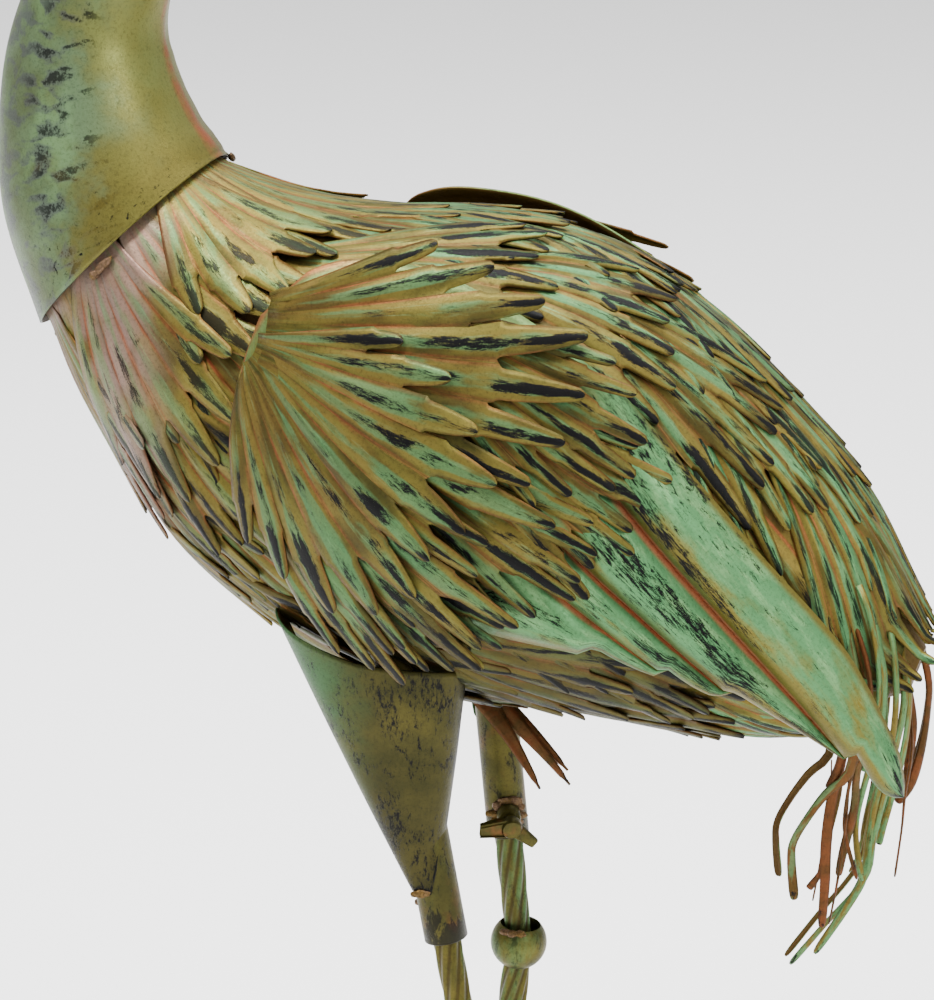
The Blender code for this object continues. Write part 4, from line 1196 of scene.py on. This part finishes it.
class HERON_OT_wing_sheets(bpy.types.Operator):
    """Press both wing sheets, with long round feathers and coral grooves"""

    bl_idname = "heron.wing_sheets"
    bl_label = "Wing sheets"

    def execute(self, context):
        per_band, rows = 14, 96
        bands = len(WING_GROOVES) + 1
        flute = sizes().wing_flute
        for side, word in ((1, "left"), (-1, "right")):
            first, last = WING_TOP[0][0], WING_END[side]
            squeeze = (WING_TOP[-1][0] - WING_TIP_FROM) / (last - WING_TIP_FROM)
            shift = random.Random(3 + side).uniform(0, 90)

            def point(column, row):
                share = row / rows
                behind = first + (last - first) * (1 - (1 - share**1.25) ** 1.12)
                past = max(0.0, behind - WING_TIP_FROM)
                edges = wing_bands(behind + past * (squeeze - 1))
                band, part = divmod(column, per_band)
                if band == bands:
                    band, part = bands - 1, per_band
                across = part / per_band
                low, high = edges[band], edges[band + 1]
                above = low + (high - low) * across
                width = high - low
                real = ease((behind - 120) / 90)
                tall = min(flute, 0.42 * width * UNIT)
                stands = math.sin(math.pi * across) ** 0.7 if 0 < across < 1 else 0.0
                out = tall * stands * real
                rim = min(above - edges[0], edges[-1] - above, (behind - first) * 1.5 + 0.5)
                out -= 0.0045 * (1 - ease(rim / 11)) * (1 - ease((behind - 150) / 120))
                out += 0.0008 * noise.noise(Vector((behind * 0.03, above * 0.03, side)))
                spot = on_wing(side, behind, above, out)
                raised = stands * real + 0.5 * (1 - real)
                edge = 1 - ease(min(rim, last - behind) / 14)
                run = ((band + across) * 2.6, behind / 10, shift)
                # A groove is the upper end of the feather below it
                climb = 1.0 if part == 0 and band else across
                return spot, (raised, share, edge, climb if real > 0.5 else 0.6), run

            shape = new_shape()
            grid = sheet_of(shape, per_band * bands, rows, point)
            faces = list(grid_faces(grid).values())
            face_towards(faces, Vector((0, -side, 0)))
            join_seam(shape)
            name = word + "_wing_sheet"
            hang_sheet(name, shape, "wing sheet", "wing_sheet", [word + "_wing"], sharp=50)
        return {"FINISHED"}


# Neck, head and crest

HEAD_HALF = 25  # half the head's height, in millimetres


def swept(rows, first_direction, last_direction, turns):
    """Read (x, z, half depth, half width) rows as a bent tube."""
    numbered = [(number, *row) for number, row in enumerate(rows)]
    last = len(rows) - 1

    def read(share):
        spot = share * last
        x, z, depth, width = curve_at(numbered, spot)
        back = curve_at(numbered, max(0.0, spot - 0.05))
        ahead = curve_at(numbered, min(float(last), spot + 0.05))
        run = Vector((ahead[0] - back[0], 0, ahead[1] - back[1])).normalized()
        run = run.lerp(first_direction, 1 - ease(spot / turns))
        run = run.lerp(last_direction, 1 - ease((last - spot) / turns)).normalized()
        return drawn(x, z), run, depth, width

    return read


def neck_at(share):
    """Middle, direction, half depth and half width of the neck."""
    numbered = [(number, *row) for number, row in enumerate(NECK_ROWS)]
    rear_x, rear_z, front_x, front_z, width = curve_at(numbered, share * (len(NECK_ROWS) - 1))
    rear, front = drawn(rear_x, rear_z), drawn(front_x, front_z)
    up = (rear - front).normalized()
    run = Vector((-up.z, 0, up.x))
    return (rear + front) / 2, run, (rear - front).length / 2 / UNIT, width


def tube_point(read, around, share, out=0.0):
    """Point of a bent tube's skin; around runs from its rear or upper side."""
    centre, run, depth, width = read(share)
    up = Vector((run.z, 0, -run.x))
    turn = 2 * math.pi * around
    along_up = up * (depth * UNIT + out) * math.cos(turn)
    return centre + along_up + Vector((0, 1, 0)) * (width * UNIT + out) * math.sin(turn)


class HERON_OT_neck(bpy.types.Operator):
    """Bend the neck's tapering tube, with its seam behind and its open collar"""

    bl_idname = "heron.neck"
    bl_label = "Neck"

    def execute(self, context):
        sides, rings = 72, 84

        def point(column, row):
            around = column / sides
            share = (row / rings) ** 1.08
            turn = 2 * math.pi * around
            seam = math.exp(-((min(around, 1 - around) * sides / 1.6) ** 2))
            dent = noise.noise(Vector((math.cos(turn) * 2.2, math.sin(turn) * 2.2, share * 13)))
            out = -0.0002 + 0.0007 * seam - 0.0009 * max(0.0, dent)
            spot = tube_point(neck_at, around, share, out)
            behind = 0.5 + 0.5 * math.cos(turn)
            across = (around if around < 0.5 else around - 1) * 2 * math.pi * 4.4
            return spot, (behind, share, seam, 1.0), (across, share * 38, 0.0)

        shape = new_shape()
        grid = sheet_of(shape, sides, rings, point)
        faces = list(grid_faces(grid).values())
        left = [face for face in faces if face.calc_center_median().y < SHIFT.y]
        right = [face for face in faces if face.calc_center_median().y >= SHIFT.y]
        face_towards(left, Vector((0, -1, 0)))
        face_towards(right, Vector((0, 1, 0)))
        join_seam(shape)
        hang_sheet("neck_tube", shape, "neck", "neck", ["neck"], sharp=60)
        return {"FINISHED"}


def head_rows():
    """Places, half depths and half widths of the head and bill, from the neck on."""
    end, run, depth, width = neck_at(1.0)
    start = end + run * 0.0003 - SHIFT
    x, z = start.x / UNIT, start.z / UNIT
    return (
        (x, z, depth, width),
        (x - 13, z + 10, 0.90 * HEAD_HALF, 0.80 * HEAD_HALF),
        (x - 32, z + 17, HEAD_HALF, 0.84 * HEAD_HALF),
        (x - 50, z + 16, 0.82 * HEAD_HALF, 0.70 * HEAD_HALF),
        (x - 66, z + 12, 0.56 * HEAD_HALF, 0.52 * HEAD_HALF),
        (x - 78, z + 10, 0.43 * HEAD_HALF, 0.40 * HEAD_HALF),
        (x - 134, z + 5, 0.30 * HEAD_HALF, 0.25 * HEAD_HALF),
        (x - 184, z - 2, 0.11 * HEAD_HALF, 0.10 * HEAD_HALF),
        (x - 203, z - 5, 0.03 * HEAD_HALF, 0.03 * HEAD_HALF),
    )


HEAD = swept(head_rows(), neck_at(1.0)[1], Vector((-1, 0, -0.08)), 1.0)


class HERON_OT_head(bpy.types.Operator):
    """Shape the head with its bill and two domed eyes"""

    bl_idname = "heron.head"
    bl_label = "Head and bill"

    def execute(self, context):
        sides, rings = 40, 72

        def point(column, row):
            around, share = column / sides, row / rings
            turn = 2 * math.pi * around
            mouth = math.exp(-((math.cos(turn) + 0.12) / 0.10) ** 2) * ease((share - 0.55) / 0.1)
            brow = math.exp(-((math.cos(turn) - 0.55) / 0.22) ** 2)
            brow *= math.exp(-((share - 0.42) / 0.10) ** 2)
            spot = tube_point(HEAD, around, share, 0.0010 * brow - 0.0010 * mouth)
            across = (around if around < 0.5 else around - 1) * 12
            form = (0.5 + 0.5 * math.cos(turn), share, mouth, 1.0)
            return spot, form, (across, 40 + share * 22, 0.0)

        shape = new_shape()
        sheet_of(shape, sides, rings, point)
        close_tube(shape)
        dome = (
            (0.0052, -0.002), (0.0052, 0.0006), (0.0046, 0.0012), (0.0038, 0.0010),
            (0.0034, 0.0020), (0.0022, 0.0030), (0.0, 0.0034),
        )
        for around, outward in ((0.23, 1), (0.77, -1)):
            centre = tube_point(HEAD, around, 0.40)
            turn = Vector((0, outward, 0)).to_track_quat("Z", "Y").to_matrix()
            lathe(shape, dome, lambda co: centre + turn @ Vector(co), 24, (0.2, 0.5, 0.9, 1.0))
        hang_solid("head_and_bill", shape, "neck", "head", "head")
        return {"FINISHED"}


def ribbon(shape, path, widths, fronts, tone, shift, crown):
    """Add a strip along a path; fronts are the directions that its face looks in."""
    steps, across = len(path) - 1, 4

    def point(column, row):
        here = path[row]
        ahead = (path[min(row + 1, steps)] - path[max(row - 1, 0)]).normalized()
        aside = ahead.cross(fronts[row]).normalized()
        part = 2 * column / across - 1
        width = widths[row]
        lift = fronts[row] * crown * (1 - part * part)
        spot = here + aside * part * width / 2 + lift
        form = (1 - part * part, row / steps, tone, 1.0)
        return spot, form, (part * width * 50, row * 0.45, shift)

    grid = sheet_of(shape, across, steps, point)
    faces = grid_faces(grid)
    for (_, row), face in faces.items():
        face_towards([face], fronts[row])


class HERON_OT_crest(bpy.types.Operator):
    """Bend three plumes back from the top of the head"""

    bl_idname = "heron.crest"
    bl_label = "Crest"

    def execute(self, context):
        root = tube_point(HEAD, 0, 0.21, 0.0005)
        shape = new_shape()
        for number in (-1, 0, 1):
            length = 0.085 * (1 - 0.18 * abs(number))
            path, widths, fronts = [], [], []
            for step in range(21):
                share = step / 20
                back = length * (share - 0.15 * share**3) - 0.006
                rise = length * (0.18 * share - 0.34 * share * share) + 0.0006
                path.append(root + Vector((back, number * (0.004 + 0.008 * share), rise)))
                widths.append(0.0068 * (1 - share**3) ** 0.5 + 0.0008)
                fronts.append(Vector((0.2, number * 0.3, 1)).normalized())
            ribbon(shape, path, widths, fronts, 0.4, number * 7, 0.0008)
        hang_sheet("crest_plumes", shape, "tail", "crest", ["crest"], 0.8)
        return {"FINISHED"}


# Tail


class HERON_OT_tail_strips(bpy.types.Operator):
    """Hang the curled strips behind and under the end of the body"""

    bl_idname = "heron.tail_strips"
    bl_label = "Tail strips"

    def execute(self, context):
        rng = random.Random(11)
        shape = new_shape()
        steps = 32
        for number, (width, tone, *places) in enumerate(STRIPS):
            rows = [(spot, *row) for spot, row in enumerate(places)]
            twist = rng.uniform(-0.5, 0.5)
            for far in (0, 1) if number % 3 == 0 else (0,):
                path, widths, fronts = [], [], []
                for step in range(steps + 1):
                    part = 1 - (1 - step / steps) ** 1.5
                    x, z, y = curve_at(rows, part * (len(rows) - 1))
                    inward = 15 * max(0.0, 1 - 3.5 * part) ** 2 + (24 - 2 * y if far else 0)
                    x, z, y = x - 0.30 * inward, z - 0.30 * inward, y + inward
                    path.append(drawn(x, z, y * UNIT))
                    end = max(0.0, 1 - (steps - step) / 4)
                    broad = width * (0.92 + 0.16 * math.sin(7 * part + 3 * number))
                    widths.append(broad * UNIT * math.sqrt(1 - 0.85 * end * end))
                    turn = 0.3 + twist * math.sin(4 * part + number)
                    side = 0.9 if far else -0.9
                    fronts.append(Vector((turn, side, 0.25)).normalized())
                ribbon(shape, path, widths, fronts, tone, rng.uniform(0, 300), 0.0006)
        hang_sheet("tail_strips", shape, "strips", "tail_strips", ["tail_fringe"], 0.7)
        return {"FINISHED"}


# Legs


class LegPlan:
    """Where one leg stands: its knee, its leaning tube and rod, and its screw's wings."""

    def __init__(self, word, side, lean, knee_x, knee_z, tube_end, ears):
        self.word, self.side = word, side
        self.lean, self.ears = math.radians(lean), math.radians(ears)
        self.knee = Vector((knee_x, -side * HALF_TRACK, knee_z)) + SHIFT
        self.tube_low = knee_z + tube_end
        self.screw = self.tube_low + 0.017

    def at_height(self, z):
        rise = z - self.knee.z
        lean = self.lean if rise > 0 else -ROD_LEAN
        return Vector((self.knee.x - rise * math.tan(lean), self.knee.y, z))

    def tube_turn(self):
        return Matrix.Rotation(-self.lean, 3, "Y")

    def cross_turn(self):
        """Turns the lathe's height into the screw's direction, towards the other leg."""
        aim = Matrix.Rotation(math.radians(SCREW_TURN), 3, "Z")
        return aim @ Matrix.Rotation(-self.side * math.radians(90 + SCREW_TILT), 3, "X")


LEGS = (
    LegPlan("left", 1, 10.5, 0.0157, 0.2540, 0.0525, 80),
    LegPlan("right", -1, 5.6, 0.0120, 0.2595, 0.0615, -30),
)


class HERON_OT_leg_tubes(bpy.types.Operator):
    """Turn both leg tubes with their welded nuts"""

    bl_idname = "heron.leg_tubes"
    bl_label = "Leg tubes"

    def execute(self, context):
        for leg in LEGS:
            shape = new_shape()
            start, turn = leg.at_height(leg.tube_low), leg.tube_turn()
            length = (HIP + 0.020 - leg.tube_low) / math.cos(leg.lean)
            inner, edge = TUBE_RADIUS - 0.0020, 0.0005
            outline = (
                (inner, 0.030), (inner, edge), (inner + edge, 0), (TUBE_RADIUS - edge, 0),
                (TUBE_RADIUS, edge), (TUBE_RADIUS, 0.012), (TUBE_RADIUS, 0.06),
                (TUBE_RADIUS, 0.12), (TUBE_RADIUS, length),
            )
            lathe(shape, outline, lambda co: start + turn @ Vector(co), 40)
            nut_at, cross = leg.at_height(leg.screw), leg.cross_turn()
            nut = (
                (0.0034, 0.0170), (0.0056, 0.0170), (0.0062, 0.0162), (0.0062, 0.0110),
                (0.0078, 0.0098), (0.0078, 0.0090),
            )
            lathe(shape, nut, lambda co: nut_at + cross @ Vector(co), 24, (0.4, 0.3, 0.5, 1.0))
            hang_solid(leg.word + "_tube", shape, "legs", "legs", leg.word + "_leg_tube")
        return {"FINISHED"}


class HERON_OT_leg_rods(bpy.types.Operator):
    """Twist both fluted rods and bend them at the knee"""

    bl_idname = "heron.leg_rods"
    bl_label = "Leg rods"

    def execute(self, context):
        flutes = sizes().rod_flutes
        sides, rings = flutes * 10, 150
        for leg in LEGS:
            low, high = 0.0133, HIP - 0.060

            def point(column, row):
                z = low + (high - low) * row / rings
                around = column / sides
                stands = 0.5 + 0.5 * math.cos(2 * math.pi * around * flutes)
                reach = ROD_RADIUS * (0.86 + 0.13 * stands)
                turn = 2 * math.pi * (around + (z - leg.screw) / 0.180)
                oval = 1 + 0.035 * math.cos(2 * turn - 60 * z)
                spot = leg.at_height(z)
                spot = spot + Vector((math.cos(turn), math.sin(turn), 0)) * reach * oval
                return spot, (stands, 0.6, 0.5, 1.0), (around * 4.7, z * 100, 0.0)

            shape = new_shape()
            sheet_of(shape, sides, rings, point)
            close_tube(shape)
            hang_solid(leg.word + "_rod", shape, "rods", "legs", leg.word + "_leg_rod", 60)
        return {"FINISHED"}


def weld_bead(shape, centre, along, across, size, seed):
    """A lumpy bead of weld; size is half its length, its width and its height."""
    layers = layers_of(shape)
    made = bmesh.ops.create_icosphere(shape, subdivisions=3, radius=1.0)
    out = along.cross(across).normalized()
    for vert in made["verts"]:
        ball = vert.co.copy()
        lump = 1 + 0.28 * noise.noise(ball * 1.7 + Vector((seed, 0, 0)))
        ball *= lump
        long, wide = along * ball.x * size[0], across * ball.y * size[1]
        vert.co = centre + long + wide + out * ball.z * size[2]
        mark(vert, layers, (0.6, 0.5, 0.5, 1.0), (ball.x, ball.y, seed))


class HERON_OT_knee_balls(bpy.types.Operator):
    """Turn the hollow knee balls with their wide upper mouths"""

    bl_idname = "heron.knee_balls"
    bl_label = "Knee balls"

    def execute(self, context):
        for leg in LEGS:
            outer, inner = 0.015, 0.0125
            wide = ROD_RADIUS + outer * math.tan(leg.lean + ROD_LEAN) + 0.0003
            low = math.asin((ROD_RADIUS + 0.0003) / outer)
            high = math.pi - math.asin(min(0.95, wide / outer))
            outline = []
            for step in range(25):
                polar = low + (high - low) * step / 24
                outline.append((outer * math.sin(polar), -outer * math.cos(polar)))
            for step in range(25):
                polar = high + (low - high) * step / 24
                edge = min(1.0, min(step, 24 - step) / 2)
                reach = outer + (inner - outer) * edge
                outline.append((reach * math.sin(polar), -reach * math.cos(polar)))
            turn = Matrix.Rotation(ROD_LEAN, 3, "Y")
            shape = new_shape()
            lathe(shape, outline[:-1] + outline[:1], lambda co: leg.knee + turn @ Vector(co), 48)
            hang_solid(leg.word + "_ball", shape, "balls", "legs", leg.word + "_knee_ball")
        return {"FINISHED"}


class HERON_OT_thumb_screws(bpy.types.Operator):
    """Make the winged screws that clamp the rods"""

    bl_idname = "heron.thumb_screws"
    bl_label = "Winged screws"

    def execute(self, context):
        for leg in LEGS:
            centre, cross = leg.at_height(leg.screw), leg.cross_turn()
            head = TUBE_RADIUS + 0.006 + 0.004

            def place(co):
                return centre + cross @ Vector(co)

            shape = new_shape()
            outline = [(0.0, 0.0079), (0.0028, 0.0079)]
            turns = 9
            for step in range(turns * 2):
                height = 0.0085 + (head - 0.0085) * step / (turns * 2)
                outline.append((0.0030 if step % 2 else 0.0026, height))
            outline += [
                (0.0030, head), (0.0050, head + 0.0004), (0.0055, head + 0.0014),
                (0.0055, head + 0.0060), (0.0048, head + 0.0070), (0.0, head + 0.0072),
            ]
            lathe(shape, outline, place, 28)
            layers = layers_of(shape)
            for end in (-1, 1):
                bend = leg.ears + (-0.12 if end == 1 else 0.50)
                ear = bmesh.ops.create_cube(shape, size=2.0)["verts"]
                faces = list({face for vert in ear for face in vert.link_faces})
                edges = list({edge for vert in ear for edge in vert.link_edges})
                for vert in ear:
                    x, y, z = vert.co
                    far = x > 0
                    out = end * (0.0158 if far else 0.0035)
                    wide = (0.0028 if far else 0.0040) * y
                    thick = head + (0.0060 if far else 0.0032) + (0.0014 if far else 0.0024) * z
                    vert.co = (
                        out * math.cos(bend) - wide * math.sin(bend),
                        out * math.sin(bend) + wide * math.cos(bend),
                        thick,
                    )
                made = bmesh.ops.bevel(
                    shape, geom=ear + edges + faces, offset=0.0011, segments=3, profile=0.5,
                    affect="EDGES", material=-1,
                )
                for vert in {vert for face in made["faces"] for vert in face.verts} | set(ear):
                    if vert.is_valid:
                        run = (vert.co.x * 100, vert.co.y * 100, 4.0)
                        mark(vert, layers, (0.7, 0.5, 0.5, 1.0), run)
                        vert.co = place(vert.co)
            bmesh.ops.recalc_face_normals(shape, faces=shape.faces)
            node = leg.word + "_thumb_screw"
            hang_solid(leg.word + "_winged_screw", shape, "screws", "screws", node)
        return {"FINISHED"}


class HERON_OT_thighs(bpy.types.Operator):
    """Roll the half cones on the outer sides of the legs"""

    bl_idname = "heron.thighs"
    bl_label = "Thighs"

    def execute(self, context):
        for leg in LEGS:
            wide, back = (0.049, -0.0062) if leg.side == 1 else (0.020, -0.0005)
            close = TUBE_RADIUS + 0.0003
            low, high = HIP - 0.116, HIP + 0.006
            across_steps, along_steps = 40, 44

            def point(column, row):
                around, share = column / across_steps, row / along_steps
                height = low + (high - low) * share
                slope = ((0.5 - around) * (0.036 if around < 0.5 else 0.014) + 0.002) * share
                half = 0.0058 + (wide - 0.0058) * share**0.92
                angle = math.pi * around
                across = -half * math.cos(angle) + back
                cone = (close + 0.0165 * share) * max(0.0, math.sin(angle)) ** 0.8
                snug = (1.05 + 0.15 * share) * close**2
                out = max(cone, math.sqrt(max(0.0, snug - across**2)))
                line = leg.at_height(height)
                dent = 0.0007 * noise.noise(Vector((around * 3, share * 4, leg.side)))
                spot = Vector((
                    line.x + across - 0.0041 * share, line.y - leg.side * (out + dent), height + slope,
                ))
                edge = 1 - ease(min(around, 1 - around, share * 1.5) / 0.08)
                run = (across * 100, height * 100, leg.side * 9.0)
                return spot, (0.6, share, edge, around), run

            shape = new_shape()
            grid = sheet_of(shape, across_steps, along_steps, point)
            face_towards(list(grid_faces(grid).values()), Vector((0, -leg.side, 0)))
            node = leg.word + "_thigh"
            hang_sheet(node + "_shell", shape, "thighs", "thigh", [node])
        return {"FINISHED"}


class HERON_OT_feet(bpy.types.Operator):
    """Forge the feet: a hub and four jointed toes"""

    bl_idname = "heron.feet"
    bl_label = "Feet"

    def execute(self, context):
        sides, rings = 20, 36
        for leg in LEGS:
            middle = leg.at_height(0.013)
            centre = Vector((middle.x, middle.y, 0))
            shape = new_shape()
            hub = (
                (0.0, 0.0), (0.0150, 0.0), (0.0154, 0.0016), (0.0148, 0.0054),
                (0.0120, 0.0090), (0.0086, 0.0118), (0.0076, 0.0130), (0.0, 0.0130),
            )
            lathe(shape, hub, lambda co: centre + Vector(co), 36)
            for angle in (-27, 0, 27, 180):
                length = 0.060 if angle == 180 else 0.112 * (1 - abs(angle) / 400)
                turn = math.radians(angle)
                ahead = Vector((-math.cos(turn), -math.sin(turn), 0))
                aside = Vector((math.sin(turn), -math.cos(turn), 0))

                def point(column, row):
                    share = row / rings
                    around = 2 * math.pi * column / sides
                    taper = 1 - 0.62 * min(share, 0.8)
                    taper *= 1 - 4 * max(0.0, share - 0.8)
                    joint = math.exp(-(((share * 3.2) % 1 - 0.5) / 0.16) ** 2) * (share < 0.8)
                    half = 0.0062 * taper * (1 + 0.16 * joint)
                    tall = 0.0086 * taper * (1 + 0.12 * joint)
                    lift = max(0.0, tall * 0.5 + tall * 0.62 * math.sin(around))
                    spot = centre + ahead * length * share + aside * half * math.cos(around)
                    # The first value is high on top of a toe and low beneath it, where the paint lays
                    # painted shade.
                    form = (0.5 + 0.5 * math.sin(around), 0.5 - 0.4 * share, 0.5, 1.0)
                    return spot + Vector((0, 0, lift)), form, (column * 0.2, share * 10, angle)

                sheet_of(shape, sides, rings, point)
            close_tube(shape)
            hang_solid(leg.word + "_forged_foot", shape, "rods", "feet", leg.word + "_foot")
        return {"FINISHED"}


class HERON_OT_welds(bpy.types.Operator):
    """Lay the weld beads at the collar, the thighs, the knees and the nuts"""

    bl_idname = "heron.welds"
    bl_label = "Welds"

    def execute(self, context):
        shape = new_shape()
        for angle, length in ((86, 0.006), (92, 0.003), (-80, 0.006), (-24, 0.005), (175, 0.006)):
            spot = on_body(5, angle, 0.0052)
            around = (on_body(5, angle + 4, 0.005) - on_body(5, angle - 4, 0.005)).normalized()
            out = (on_body(5, angle, 0.02) - on_body(5, angle, 0)).normalized()
            weld_bead(shape, spot, around, out.cross(around), (length, 0.0022, 0.0018), angle)
        for leg in LEGS:
            up = leg.tube_turn() @ Vector((0, 0, 1))
            away = Vector((0, -leg.side, 0))
            end = leg.at_height(HIP - 0.1165) + away * (TUBE_RADIUS + 0.0002)
            end.x -= 0.005
            weld_bead(shape, end, up.cross(away), up, (0.0052, 0.0022, 0.0014), 3 + leg.side)
            for number in range(3):
                forward, outward = 0.004 - 0.004 * number, 0.0122 if number == 1 else 0.0112
                ball = leg.knee + Vector((forward, -outward, 0.0092))
                size = (0.0032, 0.0020, 0.0018)
                weld_bead(shape, ball, Vector((1, 0, 0)), Vector((0, 0.4, 0.9)), size, 8 + number)
            cross = leg.cross_turn()
            first, second = cross @ Vector((1, 0, 0)), cross @ Vector((0, 1, 0))
            for number in range(9):
                turn = 2 * math.pi * number / 9 + 0.4
                ring = (0.0072 * math.cos(turn), 0.0072 * math.sin(turn), TUBE_RADIUS - 0.0010)
                bead = leg.at_height(leg.screw) + cross @ Vector(ring)
                long, wide = 0.0030 + 0.0008 * (number * 5 % 3), 0.0023 + 0.0006 * (number % 2)
                weld_bead(shape, bead, first, second, (long, wide, 0.0017), number)
        settle(add_piece("weld_beads", shape, paint_named("weld")), "legs")
        return {"FINISHED"}


class HERON_OT_body_shell(bpy.types.Operator):
    """Give the shell under the plates its dark coat"""

    bl_idname = "heron.body_shell"
    bl_label = "Body shell"

    def execute(self, context):
        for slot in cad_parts["body"].material_slots:
            slot.material = paint_named("inside")
        return {"FINISHED"}


class HERON_OT_stage(bpy.types.Operator):
    """Set the pale floor, the soft lights and the camera"""

    bl_idname = "heron.stage"
    bl_label = "Stage"

    def execute(self, context):
        shape = bmesh.new()
        bmesh.ops.create_grid(shape, x_segments=1, y_segments=1, size=14)
        mesh = bpy.data.meshes.new("floor")
        shape.to_mesh(mesh)
        shape.free()
        floor = bpy.data.objects.new("floor", mesh)
        context.scene.collection.objects.link(floor)
        pale = bpy.data.materials.new("floor")
        pale.use_nodes = True
        shader = pale.node_tree.nodes["Principled BSDF"]
        shader.inputs["Base Color"].default_value = (0.94, 0.94, 0.94, 1.0)
        shader.inputs["Roughness"].default_value = 0.9
        mesh.materials.append(pale)

        world = bpy.data.worlds.new("soft white")
        world.use_nodes = True
        sky = world.node_tree.nodes["Background"]
        sky.inputs["Color"].default_value = (1.0, 1.0, 1.0, 1.0)
        sky.inputs["Strength"].default_value = 0.85
        context.scene.world = world

        target = drawn(0, 520)
        for name, (spot, size, power) in LAMPS.items():
            lamp = bpy.data.lights.new(name, "AREA")
            lamp.size = size
            lamp.energy = power
            item = bpy.data.objects.new(name, lamp)
            item.location = target + Vector(spot)
            item.rotation_euler = (-Vector(spot)).to_track_quat("-Z", "Y").to_euler()
            context.scene.collection.objects.link(item)

        level = math.cos(VIEW_TILT)
        back = Vector((
            math.sin(VIEW_TURN) * level, -math.cos(VIEW_TURN) * level, math.sin(VIEW_TILT),
        ))
        lens = bpy.data.cameras.new("camera")
        lens.lens, lens.sensor_width = LENS, 36
        camera = bpy.data.objects.new("camera", lens)
        camera.location = target + back * VIEW_FAR
        camera.rotation_euler = back.to_track_quat("Z", "Y").to_euler()
        context.scene.collection.objects.link(camera)
        context.scene.camera = camera
        return {"FINISHED"}


STEPS = (
    HERON_OT_body_shell,
    HERON_OT_body_plates,
    HERON_OT_loose_plate,
    HERON_OT_wing_sheets,
    HERON_OT_wing_plates,
    HERON_OT_neck,
    HERON_OT_head,
    HERON_OT_crest,
    HERON_OT_tail_strips,
    HERON_OT_leg_tubes,
    HERON_OT_leg_rods,
    HERON_OT_knee_balls,
    HERON_OT_thumb_screws,
    HERON_OT_thighs,
    HERON_OT_feet,
    HERON_OT_welds,
    HERON_OT_stage,
)


class HERON_PT_panel(bpy.types.Panel):
    """Sizes, colours and steps of the heron"""

    bl_idname = "HERON_PT_panel"
    bl_label = "Heron"
    bl_space_type = "VIEW_3D"
    bl_region_type = "UI"
    bl_category = "Heron"

    def draw(self, context):
        for group in (context.scene.heron_sizes, context.scene.heron_colours):
            box = self.layout.box()
            for name in group.__annotations__:
                box.prop(group, name)
        column = self.layout.column(align=True)
        for step in STEPS:
            column.operator(step.bl_idname)


CLASSES = (HeronSizes, HeronColours, *STEPS, HERON_PT_panel)


def register():
    for item in CLASSES:
        bpy.utils.register_class(item)
    bpy.types.Scene.heron_sizes = PointerProperty(type=HeronSizes)
    bpy.types.Scene.heron_colours = PointerProperty(type=HeronColours)


def unregister():
    del bpy.types.Scene.heron_colours
    del bpy.types.Scene.heron_sizes
    for item in reversed(CLASSES):
        bpy.utils.unregister_class(item)


def main():
    register()
    bpy.ops.heron.body_shell()
    bpy.ops.heron.body_plates()
    bpy.ops.heron.loose_plate()
    bpy.ops.heron.wing_sheets()
    bpy.ops.heron.wing_plates()
    bpy.ops.heron.neck()
    bpy.ops.heron.head()
    bpy.ops.heron.crest()
    bpy.ops.heron.tail_strips()
    bpy.ops.heron.leg_tubes()
    bpy.ops.heron.leg_rods()
    bpy.ops.heron.knee_balls()
    bpy.ops.heron.thumb_screws()
    bpy.ops.heron.thighs()
    bpy.ops.heron.feet()
    bpy.ops.heron.welds()
    bpy.ops.heron.stage()


if __name__ == "__main__":
    main()
